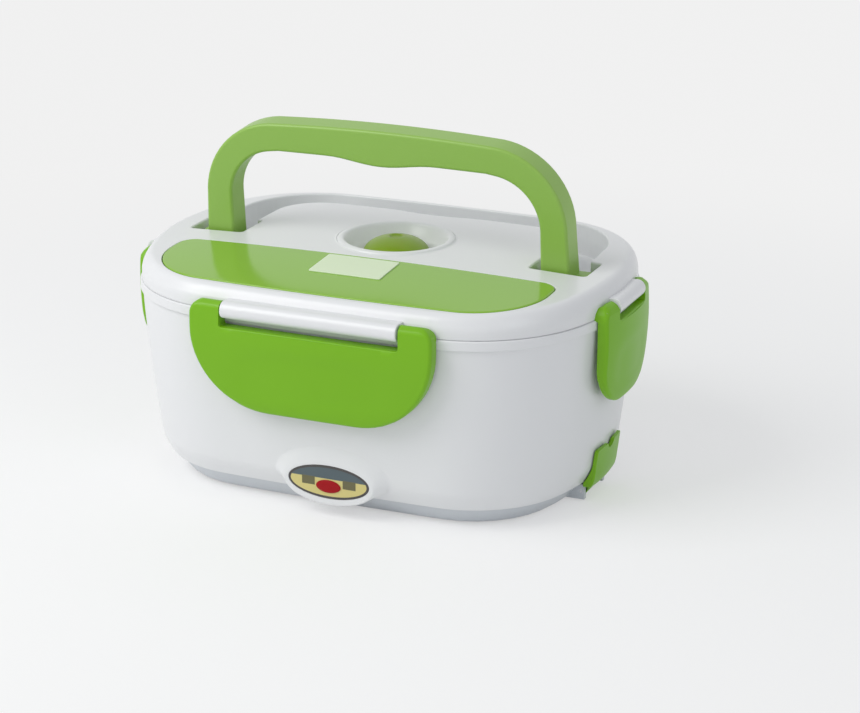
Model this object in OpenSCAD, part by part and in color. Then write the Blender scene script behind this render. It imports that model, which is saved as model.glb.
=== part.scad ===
// Electric lunch box: a heated food carrier with a lift-off lid, four hinged
// latches, a folding carry handle and a lift-out food tray.
// +Z is up, the long side runs along X, the front is -Y, the feet stand on z = 0.

/* [Outline] */
// Length of the lid's outline, end to end
lid_l = 234; // [222:1:256]
// Width of the lid's outline, front to back
lid_w = 166; // [156:1:182]
// Bow radius of the long sides, seen from above
side_bow_r = 1500; // [1000:50:3000]
// Bow radius of the short ends, seen from above
end_bow_r = 125; // [112:1:150]
// Radius of the corners, seen from above
corner_r = 61; // [54:1:66]

/* [Body] */
// Height of the body's top edge above the table
body_h = 94.4; // [88:0.2:112]
// Height of the collar round the top edge
collar_h = 4.5; // [3:0.1:6]
// How far the collar stands proud of the lid's outline
collar_out = 0.85; // [0.3:0.05:1.2]
// Height of the shell's lower edge above the table
shell_foot_z = 9.8; // [9:0.2:12]
// Inset of the shell's lower edge from the lid's outline
shell_foot_in = 11.5; // [10:0.1:13]
// Height at which the bottom curve meets the tapering wall
knee_z = 21; // [18:0.5:28]
// Inset of the wall at that height
knee_in = 6.7; // [5:0.1:8]
// Wall thickness of the shell
wall = 2.4; // [1.8:0.1:2.8]
// Depth of the ledge that the tray hangs near, below the top edge
ledge_drop = 10.4; // [10:0.1:12]
// Width of that ledge
ledge_w = 5; // [4:0.1:6]
// Height of the well's floor above the table
well_z = 24; // [23:0.2:30]
// Thickness of the well's floor
well_t = 2.5; // [2:0.1:3]

/* [Base] */
// Height of the base's underside above the table
base_z = 1.2; // [0.8:0.1:2]
// Inset of the base's underside from the lid's outline
base_in = 20; // [17:0.5:24]
// Thickness of the base
base_t = 2.2; // [1.8:0.1:2.4]
// Depth of the base's spigot inside the shell
spigot_h = 2.6; // [2:0.1:4]
// Radius of the rubber feet
foot_r = 6; // [4:0.2:8]
// Distance between feet along X
foot_dx = 150; // [120:1:156]
// Distance between feet along Y
foot_dy = 84; // [60:1:90]
// Distance between base screws along X
screw_dx = 164; // [156:1:166]
// Distance between base screws along Y
screw_dy = 40; // [34:1:50]
// Shank radius of the base screws
screw_r = 1.4; // [1.2:0.05:1.7]
// Head radius of the base screws
screw_head_r = 2.9; // [2.5:0.1:3.2]

/* [Heater] */
// Length of the heating plate
plate_l = 132; // [126:1:150]
// Width of the heating plate
plate_w = 82; // [76:1:92]
// Thickness of the heating plate
plate_t = 1.6; // [1:0.1:2]
// Thickness of the seal under the plate
plate_seal_t = 1; // [0.6:0.1:1.4]
// Width of the seal under the plate
plate_seal_w = 5; // [4:0.2:6]
// Length of the heater pack
heater_l = 60; // [40:1:64]
// Width of the heater pack
heater_w = 30; // [22:1:32]
// Height of the heater pack
heater_h = 7; // [5:0.2:8]
// Place of the heater pack's centre along X
heater_x = -14; // [-18:1:-10]
// Radius of the thermostat's case
thermostat_r = 8; // [6:0.2:9]
// Place of the thermostat along X
thermostat_x = 38; // [34:1:42]

/* [Power inlet] */
// Width of the inlet block
inlet_w = 23; // [21:0.5:25]
// Height of the inlet block
inlet_h = 9.8; // [9.2:0.2:10.2]
// Height of the inlet's centre above the table
inlet_z = 16.1; // [15.8:0.1:16.4]
// Depth of the inlet block along X
inlet_d = 15; // [13:0.5:18]
// Distance between the two contact pins
pin_pitch = 8.6; // [8.6:0.1:9]
// Radius of a contact pin
pin_r = 1.2; // [1:0.05:1.3]
// Free length of a contact pin
pin_l = 9; // [8:0.2:9.6]
// Width of the inlet's flap
flap_w = 31; // [30:0.5:36]
// Height of the flap's upper edge above the table
flap_top_z = 27; // [25:0.5:30]
// Thickness of the flap
flap_t = 1.8; // [1.4:0.1:2.2]
// Height of the flap's hinge above the table
flap_pin_z = 5; // [4.8:0.1:5.4]
// Radius of the flap's hinge pin
flap_pin_r = 0.8; // [0.6:0.05:1]

/* [Indicator] */
// Half length of the oval face plate
panel_a = 20.3; // [16:0.1:23]
// Half height of the oval face plate
panel_b = 8; // [6.5:0.1:9]
// Height of the face plate's centre above the table
panel_z = 17.8; // [17:0.1:18.4]
// Distance of the face plate's centre to the right of the middle
panel_x = 4.6; // [0:0.1:6]
// Width of the white rim round the face plate
panel_rim = 3.4; // [2:0.1:4]
// How far the rim stands in front of the shell at its centre
panel_out = 3.6; // [3.4:0.1:5]
// Thickness of the face plate
panel_t = 1.4; // [1:0.1:1.8]
// Half length of the red lens
lens_a = 6.2; // [5:0.1:7]
// Half height of the red lens
lens_b = 3.1; // [2.6:0.1:3.6]
// Radius of the lamp behind the lens
lamp_r = 2.4; // [1.5:0.1:2.5]

/* [Food tray] */
// Thickness of the tray's walls
tray_t = 1.6; // [1.2:0.1:2]
// Inset of the tray's wall at the top
tray_top_in = 9.2; // [8.6:0.1:10]
// Inset of the tray's wall at the bottom
tray_foot_in = 14; // [12:0.2:18]
// Thickness of the tray's flange
flange_t = 1.8; // [1.4:0.1:2]
// Place of the divider's centre along X
divider_x = 22; // [15:1:28]
// Thickness of the divider
divider_t = 4; // [2:0.2:5]

/* [Side box] */
// Thickness of the side box's walls
box_t = 1.5; // [1.2:0.1:1.8]
// Gap between the side box and the tray's walls
box_gap = 1; // [0.6:0.1:2]
// Drop from the tray's rim to the side box's rim
box_drop = 7.3; // [5.3:0.1:17.3]
// Radius of the side box's corners on its straight side
box_corner_r = 6; // [4:0.5:9]
// Thickness of the side box's lid
box_lid_t = 1.4; // [1.2:0.1:1.6]

/* [Lid] */
// Height of the lid from its lower edge to its rim
lid_h = 13.5; // [12.6:0.1:15]
// Gap between the lid's lower edge and the body's top edge
lid_gap = 0.4; // [0.3:0.05:0.6]
// How far the top falls from the middle to the front edge
front_drop = 3.3; // [1:0.1:4]
// How far the top's middle stands above its rim
dome_h = 2; // [0.5:0.1:2.6]
// Wall thickness of the lid
lid_t = 2.2; // [1.8:0.1:2.4]
// Floor thickness under the recesses
floor_t = 1.6; // [1.2:0.1:2]
// Thickness of the lid's inner plate
liner_t = 1.6; // [1.2:0.1:2]
// Height of the gasket
gasket_h = 2.6; // [2:0.1:2.8]
// Width of the gasket
gasket_w = 4.5; // [3:0.1:5]

/* [Steam vent] */
// Place of the vent's centre along Y
vent_y = 7.4; // [5:0.2:10]
// Outer radius of the vent's raised lip
vent_r = 28; // [24:0.5:28.5]
// Height of the lip above the lid's rim
vent_lip = 2.8; // [2.2:0.1:4]
// Radius of the steam hole
steam_r = 6.5; // [5:0.1:8]
// Radius of the plug's dome
plug_r = 16; // [13:0.5:17]
// Height of the plug's dome
plug_h = 9.6; // [8:0.2:10]

/* [Spoon bay] */
// Half length of the spoon cover
cover_a = 95.5; // [90:0.5:98]
// Place of the cover's back edge along Y
cover_back_y = -25.5; // [-30:0.5:-24]
// Inset of the cover's front edge from the lid's outline
cover_in = 8; // [7:0.5:10]
// Radius of the cover's front corners
cover_corner_r = 34; // [24:1:36]
// Thickness of the cover
cover_t = 2; // [1.6:0.1:2.4]
// Gap round the cover
cover_gap = 0.4; // [0.3:0.05:0.6]
// Width of the ledge that the cover lies on
cover_ledge = 3; // [2:0.2:4]
// Length of the label plate
label_l = 36; // [20:1:50]
// Width of the label plate
label_w = 22.5; // [12:0.5:24]
// Length of the spoon
spoon_l = 140; // [110:1:144]
// Width of the spoon's bowl
spoon_w = 30; // [24:1:34]

/* [Handle] */
// Depth of the handle's hinge line below the lid's rim
pivot_drop = 11.3; // [11:0.1:11.8]
// Place of the hinge line along Y
pivot_y = 3.5; // [3:0.1:4.5]
// Height of the grip's top above the hinge line
handle_h = 70.4; // [66:0.2:71]
// Half width across the legs, on the outside
handle_a = 92.4; // [88:0.2:93]
// How much wider the legs stand at the foot
handle_flare = 1.8; // [0.5:0.1:2.2]
// Thickness of the grip, seen from the front
grip_t = 14.7; // [12:0.1:15.5]
// Width of a leg, seen from the front
leg_w = 13.4; // [11:0.1:14]
// Depth of the handle, front to back
handle_d = 13.9; // [12:0.1:14]
// Radius of the handle's outer corners
handle_r = 39; // [34:0.5:42]
// Rise of the grip's top from its ends to its middle
grip_crown = 1.5; // [0.5:0.1:2.5]
// Depth of the palm swell under the grip
swell_h = 2.8; // [1:0.1:3.4]
// Half length of the palm swell
swell_a = 28; // [20:1:32]
// Lean of the raised handle towards the front, in degrees
handle_lean = 4.7; // [2:0.1:4.7]
// Radius of the hub at the foot of a leg
hub_r = 4.5; // [4:0.1:4.6]
// Radius of the handle's hinge pins
handle_pin_r = 1.75; // [1.2:0.05:2]

/* [Latches] */
// Distance of the front and back hinges from the lid's outline
latch_out = 3.9; // [3.8:0.05:4.4]
// Distance of the end hinges from the lid's outline
end_latch_out = 1.2; // [1.1:0.05:2]
// Depth of the latch hinges below the lid's rim
latch_drop = 11.3; // [11:0.1:11.8]
// Radius of the hinge bars
bar_r = 3.75; // [3.4:0.05:3.75]
// Radius of the front and back latches' ears
ear_r = 3.6; // [3.2:0.05:3.7]
// Radius of the end latches' ears
end_ear_r = 3; // [2.8:0.05:3.1]
// Depth of the notch below the hinge
notch_drop = 8.4; // [7:0.1:10]
// Half length of the front and back hinge bars
bar_a = 43.4; // [34:0.2:46]
// Half length of the end hinge bars
end_bar_a = 16.5; // [12:0.5:18]
// Half width of the front and back latches
latch_a = 60; // [57:0.5:64]
// Half width of the end latches
end_latch_a = 29; // [28:0.5:32]
// Height of a latch below its hinge
latch_h = 47.3; // [42:0.2:50]
// Radius of the lower corners of the front and back latches
latch_corner_r = 38; // [28:1:40]
// Radius of the lower corners of the end latches
end_latch_corner_r = 20; // [14:1:26]
// Radius of the latches' upper corners
shoulder_r = 7; // [4:0.5:8]
// Thickness of a latch's face
latch_t = 2.6; // [2:0.1:3]
// Depth of the catch rails below the lid's hinges
rail_drop = 27; // [24:0.5:32]
// Radius of the latch hinge pins
latch_pin_r = 1.25; // [0.9:0.05:1.5]

/* [Hidden] */

$fn = 48;
WHITE = [0.93, 0.93, 0.94];
GREEN = [0.48, 0.70, 0.24];
OLIVE = [0.52, 0.62, 0.14];
STEEL = [0.72, 0.73, 0.75];
ALLOY = [0.80, 0.81, 0.83];
DARK = [0.16, 0.17, 0.18];
BRASS = [0.80, 0.65, 0.33];
RUBBER = [0.25, 0.26, 0.27];

soft = 0.3;     // clearance between pieces that move past each other
run = 0.06;     // radial running clearance of a pin in its bore
eps = 0.01;     // overlap of shapes that are cut or joined
lot = 400;      // a length well past the whole box

// ---- outline: a rectangle with bowed sides, as three tangent arcs a quarter ----

side_c = [0, lid_w / 2 - side_bow_r];
end_c = [lid_l / 2 - end_bow_r, 0];
corner_c = meet(side_c, side_bow_r - corner_r, end_c, end_bow_r - corner_r);
end_ang = angle_of(corner_c - end_c);
side_ang = angle_of(corner_c - side_c);

function angle_of(v) = atan2(v.y, v.x);

// the outer one of the two points at r1 from c1 and r2 from c2
function meet(c1, r1, c2, r2) =
    let (d = norm(c2 - c1), e = (c2 - c1) / d,
         along = (r1 * r1 - r2 * r2 + d * d) / (2 * d),
         off = sqrt(r1 * r1 - along * along))
    c1 + along * e + off * [e.y, -e.x];

function arc(c, r, a0, a1, n) =
    [for (i = [0:n]) c + r * [cos(a0 + (a1 - a0) * i / n), sin(a0 + (a1 - a0) * i / n)]];

function tail(list) = [for (i = [1:len(list) - 1]) list[i]];
function body_of(list) = [for (i = [1:len(list) - 2]) list[i]];
function reversed(list) = [for (i = [len(list) - 1:-1:0]) list[i]];

// a quarter of the outline, from +X to +Y, drawn in by t
function quarter(t) = concat(
    arc(end_c, end_bow_r - t, 0, end_ang, 3),
    tail(arc(corner_c, corner_r - t, end_ang, side_ang, 6)),
    tail(arc(side_c, side_bow_r - t, side_ang, 90, 3)));

function outline(t) =
    let (q = quarter(t), half = concat(q, [for (p = tail(reversed(q))) [-p.x, p.y]]))
    concat(half, [for (p = body_of(reversed(half))) [p.x, -p.y]]);

function ellipse(a, b, n = 40) = [for (i = [0:n - 1]) [a * cos(360 * i / n), b * sin(360 * i / n)]];

function rounded_box(l, w, r) = concat(
    arc([l / 2 - r, w / 2 - r], r, 0, 90, 6), arc([r - l / 2, w / 2 - r], r, 90, 180, 6),
    arc([r - l / 2, r - w / 2], r, 180, 270, 6), arc([l / 2 - r, r - w / 2], r, 270, 360, 6));

// ---- solids between rings of equally many points ----

// skin of triangles over rings of 3D points, with flat or fanned ends
module loft(rings) {
    n = len(rings[0]);
    m = len(rings);
    skin = [for (j = [0:m - 2]) for (i = [0:n - 1])
        let (a = j * n + i, b = j * n + (i + 1) % n) each [[a, a + n, b + n], [a, b + n, b]]];
    polyhedron([for (r = rings) each r],
        concat([[for (i = [0:n - 1]) i]], skin, [[for (i = [n - 1:-1:0]) (m - 1) * n + i]]));
}

function ring_at(o, z) = [for (p = o) [p.x, p.y, z]];

// the bowed outline lofted through a list of [inset, height]
module outline_loft(profile) {
    loft([for (s = profile) ring_at(outline(s[0]), s[1])]);
}

module outline_ring(t_out, t_in, z0, z1) {
    translate([0, 0, z0])
        linear_extrude(z1 - z0)
            difference() {
                polygon(outline(t_out));
                polygon(outline(t_in));
            }
}

// a plate whose upper and lower faces follow heights given as functions
module draped(o, c, low, high, steps = [1, 0.8, 0.5, 0.2]) {
    n = len(o);
    m = len(steps);
    shrunk = [for (s = steps) [for (p = o) c + s * (p - c)]];
    pts = concat(
        [for (r = shrunk) for (p = r) [p.x, p.y, high(p)]], [[c.x, c.y, high(c)]],
        [for (r = shrunk) for (p = r) [p.x, p.y, low(p)]], [[c.x, c.y, low(c)]]);
    half = n * m + 1;
    top = [for (j = [0:m - 2]) for (i = [0:n - 1])
        let (a = j * n + i, b = j * n + (i + 1) % n) each [[a, a + n, b + n], [a, b + n, b]]];
    fan = [for (i = [0:n - 1]) [(m - 1) * n + i, n * m, (m - 1) * n + (i + 1) % n]];
    face = concat(top, fan);
    edge = [for (i = [0:n - 1]) let (b = (i + 1) % n) each [[i, b, half + b], [i, half + b, half + i]]];
    polyhedron(pts, concat(face, [for (f = face) [half + f[0], half + f[2], half + f[1]]], edge));
}

// a band that follows a bow: points are [distance outside the lid's outline, height]
module bow_band(c, r, facing, half_angle, points) {
    translate([c.x, c.y, 0])
        rotate([0, 0, facing - half_angle])
            rotate_extrude(angle = 2 * half_angle, $fn = r > 500 ? 1440 : 180)
                polygon([for (p = points) [p[0] + r, p[1]]]);
}

// ---- heights and shared places ----

collar_z = body_h - collar_h;
ledge_z = body_h - ledge_drop;
lid_z = body_h + lid_gap;
rim_z = lid_z + lid_h;
pivot_z = rim_z - pivot_drop;
slot_z = pivot_z - hub_r - soft;
liner_top = slot_z - floor_t;
gasket_top = liner_top - liner_t;
flange_top = gasket_top - gasket_h - soft;
tray_rim_in = wall + 1;
plug_in = wall + 1;
plate_z = well_z + plate_seal_t;
plate_top = plate_z + plate_t;
tray_foot_z = plate_top + soft;
draft_power = 1.35;
knee_power = 1.7;

// inset of the shell's outer face from the lid's outline at height z
function shell_in(z) = z >= knee_z
    ? knee_in * pow(max(0, collar_z - z) / (collar_z - knee_z), draft_power)
    : knee_in + (shell_foot_in - knee_in) * pow((knee_z - z) / (knee_z - shell_foot_z), knee_power);

function steps_between(a, b, n) = [for (i = [0:n]) a + (b - a) * i / n];

// ---- body ----

shell_heights = concat(steps_between(shell_foot_z, knee_z, 4), tail(steps_between(knee_z, collar_z, 4)));
boss_r = 4;
boss_foot_z = base_z + base_t + 2.6;
screw_places = [for (x = [-1, 1]) for (y = [-1, 1]) [x * screw_dx / 2, y * screw_dy / 2]];
opening_l = plate_l - 2 * plate_seal_w - 2;
opening_w = plate_w - 2 * plate_seal_w - 2;
plate_corner_r = 12;
panel_y = -(lid_w / 2 - shell_in(panel_z) + panel_out);
lens_z = panel_z - 0.25 * panel_b;
sleeve_t = 1.4;
inlet_face_x = lid_l / 2 - shell_in(inlet_z) - 6;
inlet_back_x = inlet_face_x - inlet_d;

module well() {
    narrow = ledge_z - 2.2;
    heights = steps_between(well_z, narrow - 4, 4);
    outline_loft(concat(
        [for (z = heights) [shell_in(z) + wall, z]],
        [[wall + ledge_w, narrow], [wall + ledge_w, ledge_z], [wall, ledge_z], [wall, body_h + 1]]));
}

module undercroft() {
    ceiling = well_z - well_t;
    heights = steps_between(shell_foot_z, ceiling, 3);
    outline_loft(concat([[shell_in(shell_foot_z) + wall, shell_foot_z - 1]],
        [for (z = heights) [shell_in(z) + wall, z]]));
}

rail_z = rim_z - latch_drop - rail_drop;
rail_h = 3;

module catch_rail(c, r, facing, half_len) {
    bow_band(c, r, facing, asin(half_len / r), [
        [-shell_in(rail_z) - wall / 2, rail_z], [collar_out, rail_z],
        [collar_out, rail_z + rail_h / 2], [-shell_in(rail_z) - wall / 2, rail_z + 2 * rail_h]]);
}

module catch_rails() {
    for (facing = [90, 270])
        catch_rail([0, sin(facing) * side_c.y], side_bow_r, facing, bar_a);
    for (facing = [0, 180])
        catch_rail([cos(facing) * end_c.x, 0], end_bow_r, facing, end_bar_a - 2);
}

// front boss that carries the oval face plate; it reaches below the shell's edge
module panel_boss() {
    depth = -panel_y - (lid_w / 2 - base_top_in + soft);
    translate([panel_x, panel_y + depth, panel_z])
        rotate([90, 0, 0]) {
            linear_extrude(depth - 1.2)
                polygon(ellipse(panel_a + panel_rim + 1.2, panel_b + panel_rim + 1.2));
            linear_extrude(depth)
                polygon(ellipse(panel_a + panel_rim, panel_b + panel_rim));
        }
}

module panel_pocket() {
    translate([panel_x, panel_y + panel_t, panel_z])
        rotate([90, 0, 0])
            linear_extrude(lot)
                polygon(ellipse(panel_a + 0.1, panel_b + 0.1));
    translate([panel_x, 0, lens_z])
        rotate([90, 0, 0])
            cylinder(r = lamp_r + 0.6, h = lid_w / 2);
}

module inlet_sleeve(grow, x0, x1) {
    w = inlet_w + 2 * grow;
    h = inlet_h + 2 * grow;
    translate([x0, -w / 2, inlet_z - h / 2])
        cube([x1 - x0, w, h]);
}

module outer_shell() color(WHITE) {
    difference() {
        union() {
            difference() {
                union() {
                    outline_loft(concat([for (z = shell_heights) [shell_in(z), z]],
                        [[-collar_out, collar_z], [-collar_out, body_h - 0.8],
                         [0.6 - collar_out, body_h]]));
                    catch_rails();
                    panel_boss();
                }
                well();
                undercroft();
            }
            intersection() {
                inlet_sleeve(sleeve_t, inlet_back_x + 4, lid_l / 2);
                outline_loft([for (z = [shell_foot_z, knee_z, well_z]) [shell_in(z) + eps, z]]);
            }
            for (p = screw_places)
                translate([p.x, p.y, boss_foot_z])
                    cylinder(r = boss_r, h = well_z - well_t - boss_foot_z + eps);
        }
        panel_pocket();
        inlet_sleeve(0, inlet_back_x - 1, lid_l);
        translate([0, 0, well_z - well_t - 1])
            linear_extrude(well_t + 2)
                polygon(rounded_box(opening_l, opening_w, plate_corner_r - plate_seal_w));
        for (p = screw_places)
            translate([p.x, p.y, boss_foot_z - 1])
                cylinder(r = screw_r, h = 12);
    }
}

// ---- base ----

base_top_in = shell_foot_in + 1.6;
spigot_in = shell_foot_in + wall + 0.4;
foot_recess = 1;
foot_places = [for (x = [-1, 1]) for (y = [-1, 1]) [x * foot_dx / 2, y * foot_dy / 2]];
head_z = base_z + 1;
lug_w = 2.6;
knuckle_r = 2.2;
flap_pin_x = lid_l / 2 - shell_foot_in - 2.1;
knuckle_w = flap_w - 2 * lug_w - 2 * soft - 3;

module pedestal() {
    half = knuckle_w / 2 + soft + lug_w;
    difference() {
        translate([flap_pin_x - 18, -half, base_z])
            cube([18 + 1.6, 2 * half, shell_foot_z - 1.2 - base_z]);
        translate([flap_pin_x - knuckle_r - soft, -knuckle_w / 2 - soft, base_z - 1])
            cube([lot, knuckle_w + 2 * soft, lot]);
        translate([flap_pin_x, half + 1, flap_pin_z])
            rotate([90, 0, 0])
                cylinder(r = flap_pin_r, h = 2 * half + 2);
    }
}

module base_plate() color(WHITE) {
    difference() {
        union() {
            difference() {
                outline_loft([[base_in, base_z], [base_in - 1.2, base_z + 1], [base_top_in, shell_foot_z],
                    [spigot_in, shell_foot_z], [spigot_in, shell_foot_z + spigot_h]]);
                outline_loft([[base_in + 1.2, base_z + base_t], [spigot_in + 1.8, shell_foot_z],
                    [spigot_in + 1.8, shell_foot_z + spigot_h + 1]]);
            }
            pedestal();
            for (p = screw_places)
                translate([p.x, p.y, base_z])
                    cylinder(r = boss_r + 1, h = boss_foot_z - base_z);
        }
        for (p = foot_places)
            translate([p.x, p.y, base_z - 1])
                cylinder(r = foot_r, h = foot_recess + 1);
        for (p = screw_places)
            translate([p.x, p.y, 0]) {
                cylinder(r = screw_r + 0.3, h = body_h / 2);
                cylinder(r = screw_head_r + 0.4, h = head_z + 2);
            }
        translate([flap_pin_x - knuckle_r - soft, -knuckle_w / 2 - soft, base_z - 1])
            cube([lot, knuckle_w + 2 * soft, lot]);
        translate([screw_dx / 2, -inlet_w / 2 - sleeve_t - soft, shell_foot_z])
            cube([lot, inlet_w + 2 * (sleeve_t + soft), lot]);
    }
}

module base_screws() color(STEEL)
    for (p = screw_places)
        translate([p.x, p.y, head_z]) {
            difference() {
                cylinder(r = screw_head_r, h = 2);
                for (a = [0, 90])
                    rotate([0, 0, a])
                        translate([-1.8, -0.35, -eps])
                            cube([3.6, 0.7, 1]);
            }
            cylinder(r = screw_r, h = boss_foot_z - head_z + 9);
        }

module rubber_feet() color(RUBBER)
    for (p = foot_places)
        translate([p.x, p.y, 0])
            rotate_extrude()
                polygon([[0, 0], [foot_r - 0.8, 0], [foot_r, 0.7], [foot_r, base_z + foot_recess],
                    [0, base_z + foot_recess]]);

// ---- heater ----

thermostat_ear = 12;
stud_r = 2.6;
stud_h = 3;
fuse_r = 1.4;
fuse_l = 11;
fuse_x = heater_x + 24;
stud_y = opening_w / 2 - 5.5;
fuse_y = stud_y - 7;
fuse_z = plate_z - fuse_r - 0.1;
strap_t = 1.2;
strap_w = 12;
strap_screw_y = opening_w / 2 + 5;

module heating_plate() color(ALLOY) {
    difference() {
        union() {
            translate([0, 0, plate_z])
                linear_extrude(plate_t)
                    polygon(rounded_box(plate_l, plate_w, plate_corner_r));
            for (s = [-1, 1])
                translate([thermostat_x, s * thermostat_ear, plate_z - stud_h])
                    cylinder(r = stud_r, h = stud_h + eps);
            translate([fuse_x, stud_y, plate_z - stud_h])
                cylinder(r = stud_r, h = stud_h + eps);
        }
        for (s = [-1, 1])
            translate([thermostat_x, s * thermostat_ear, plate_z - stud_h - eps])
                cylinder(r = 1.1, h = stud_h);
        translate([fuse_x, stud_y, plate_z - stud_h - eps])
            cylinder(r = 1.1, h = stud_h);
    }
}

module plate_seal() color(RUBBER)
    translate([0, 0, well_z])
        linear_extrude(plate_seal_t)
            difference() {
                polygon(rounded_box(plate_l - 1, plate_w - 1, plate_corner_r - 0.5));
                polygon(rounded_box(plate_l - 2 * plate_seal_w, plate_w - 2 * plate_seal_w,
                    plate_corner_r - plate_seal_w + 1));
            }

module ptc_heater() color(ALLOY) {
    translate([heater_x, 0, plate_z - heater_h])
        linear_extrude(heater_h)
            polygon(rounded_box(heater_l, heater_w, 3));
    for (s = [-1, 1])
        translate([heater_x + heater_l / 2 - 1, s * heater_w / 4, plate_z - heater_h / 2])
            rotate([0, 90, 0])
                cylinder(r = 1.6, h = 6);
}

module heater_clamp() color(STEEL) {
    low = plate_z - heater_h;
    span = heater_w / 2 + soft;
    ear = strap_screw_y + 5;
    ceiling = well_z - well_t;
    difference() {
        translate([heater_x - strap_w / 2, 0, 0])
            rotate([90, 0, 90])
                linear_extrude(strap_w)
                    polygon([[-ear, ceiling], [-ear, ceiling - strap_t],
                        [-span - strap_t - 2, ceiling - strap_t], [-span, low - strap_t],
                        [span, low - strap_t], [span + strap_t + 2, ceiling - strap_t],
                        [ear, ceiling - strap_t], [ear, ceiling], [span + 2, ceiling],
                        [span, low], [-span, low], [-span - 2, ceiling]]);
        for (s = [-1, 1])
            translate([heater_x, s * strap_screw_y, 0])
                cylinder(r = 1.3, h = body_h);
    }
}

// places as [x, y, height of the face under the head, length]
heater_screw_places = [
    for (s = [-1, 1]) [heater_x, s * strap_screw_y, well_z - well_t - strap_t],
    for (s = [-1, 1]) [thermostat_x, s * thermostat_ear, plate_z - stud_h - 0.8],
    [fuse_x, stud_y, plate_z - stud_h - 0.8]];

module heater_screws() color(STEEL)
    for (p = heater_screw_places)
        translate([p.x, p.y, p.z - 1.6]) {
            cylinder(r = 2.2, h = 1.6);
            cylinder(r = 1.1, h = 1.6 + 3);
        }

module thermostat() color(DARK) {
    flange_z = plate_z - stud_h - 0.8;
    translate([thermostat_x, 0, flange_z])
        difference() {
            union() {
                cylinder(r = thermostat_r, h = plate_z - flange_z);
                translate([-stud_r - 0.4, -thermostat_ear - 3, 0])
                    cube([2 * stud_r + 0.8, 2 * thermostat_ear + 6, 0.8]);
            }
            for (s = [-1, 1])
                translate([0, s * thermostat_ear, -1])
                    cylinder(r = 1.3, h = 4);
        }
    translate([thermostat_x, 0, flange_z - 6.5])
        cylinder(r = thermostat_r - 0.4, h = 6.5 + eps);
    for (s = [-1, 1])
        translate([thermostat_x - 0.4 + s * 4, -3, flange_z - 12])
            cube([0.8, 6, 6]);
}

module thermal_fuse() color(BRASS) {
    translate([fuse_x, fuse_y, fuse_z])
        rotate([0, 90, 0]) {
            cylinder(r = fuse_r, h = fuse_l, center = true);
            cylinder(r = 0.5, h = fuse_l + 10, center = true);
        }
}

module fuse_clip() color(STEEL) {
    z = plate_z - stud_h - 0.8;
    difference() {
        translate([fuse_x - 3, fuse_y - 3, z])
            cube([6, stud_y - fuse_y + 6, 0.8]);
        translate([fuse_x, stud_y, z - 1])
            cylinder(r = 1.3, h = 4);
    }
}

// ---- power inlet ----

cavity_d = inlet_d - 4;
pin_tail = 4;
pin_collar_r = pin_r + 0.3;
contact_seat = inlet_d - cavity_d;

module power_inlet() color(DARK)
    difference() {
        inlet_sleeve(-0.1, inlet_back_x, inlet_face_x);
        for (s = [-1, 1])
            translate([inlet_face_x - cavity_d, s * pin_pitch / 2, inlet_z])
                rotate([0, 90, 0])
                    cylinder(r = inlet_h / 2 - 1, h = lot);
        translate([inlet_face_x - cavity_d, -pin_pitch / 2, inlet_z - inlet_h / 2 + 1.8])
            cube([lot, pin_pitch, inlet_h - 3.6]);
        for (s = [-1, 1])
            translate([inlet_back_x - 1, s * pin_pitch / 2, inlet_z])
                rotate([0, 90, 0])
                    cylinder(r = pin_collar_r, h = inlet_d);
    }

module inlet_pins() color(BRASS)
    for (s = [-1, 1])
        translate([inlet_back_x - pin_tail, s * pin_pitch / 2, inlet_z])
            rotate([0, 90, 0]) {
                cylinder(r = pin_r - 0.2, h = pin_tail + eps);
                translate([0, 0, pin_tail])
                    cylinder(r = pin_collar_r, h = contact_seat);
                translate([0, 0, pin_tail + contact_seat - eps])
                    cylinder(r = pin_r, h = pin_l + eps);
            }

flap_heights = [flap_top_z, knee_z + 1, knee_z - 3, shell_foot_z + 4, shell_foot_z];
flap_angle = asin(flap_w / 2 / (end_bow_r - knee_in));

// the flap follows the end wall and hangs on a knuckle in the base's pedestal
module inlet_flap() color(GREEN) {
    pivot_out = flap_pin_x - lid_l / 2;
    outer = [for (z = flap_heights) [flap_t + soft - shell_in(z), z]];
    inner = [for (z = reversed(flap_heights)) [soft - shell_in(z), z]];
    difference() {
        union() {
            bow_band(end_c, end_bow_r, 0, flap_angle, concat(outer, inner));
            intersection() {
                bow_band(end_c, end_bow_r, 0, flap_angle, [
                    [flap_t + soft - shell_foot_in, shell_foot_z], [pivot_out + knuckle_r, flap_pin_z],
                    [pivot_out + knuckle_r - flap_t, flap_pin_z], [soft - shell_foot_in, shell_foot_z]]);
                translate([0, -knuckle_w / 2, 0])
                    cube([lot, knuckle_w, lot]);
            }
            translate([flap_pin_x, knuckle_w / 2, flap_pin_z])
                rotate([90, 0, 0])
                    cylinder(r = knuckle_r, h = knuckle_w);
        }
        translate([flap_pin_x, knuckle_w, flap_pin_z])
            rotate([90, 0, 0])
                cylinder(r = flap_pin_r + run, h = 2 * knuckle_w);
        translate([lid_l / 2 - 20, 0, flap_top_z + 1.5])
            rotate([0, 90, 0])
                cylinder(r = 4.5, h = 40);
    }
}

module flap_pin() color(STEEL)
    translate([flap_pin_x, knuckle_w / 2 + soft + lug_w, flap_pin_z])
        rotate([90, 0, 0])
            cylinder(r = flap_pin_r, h = knuckle_w + 2 * soft + 2 * lug_w);

// ---- indicator ----

module oval(a, b, t, z) {
    translate([panel_x, panel_y + panel_t, z])
        rotate([90, 0, 0])
            linear_extrude(t)
                polygon(ellipse(a, b));
}

module indicator_panel() color(DARK)
    difference() {
        oval(panel_a, panel_b, panel_t, panel_z);
        translate([0, 1, 0])
            oval(lens_a, lens_b, panel_t + 2, lens_z);
    }

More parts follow.
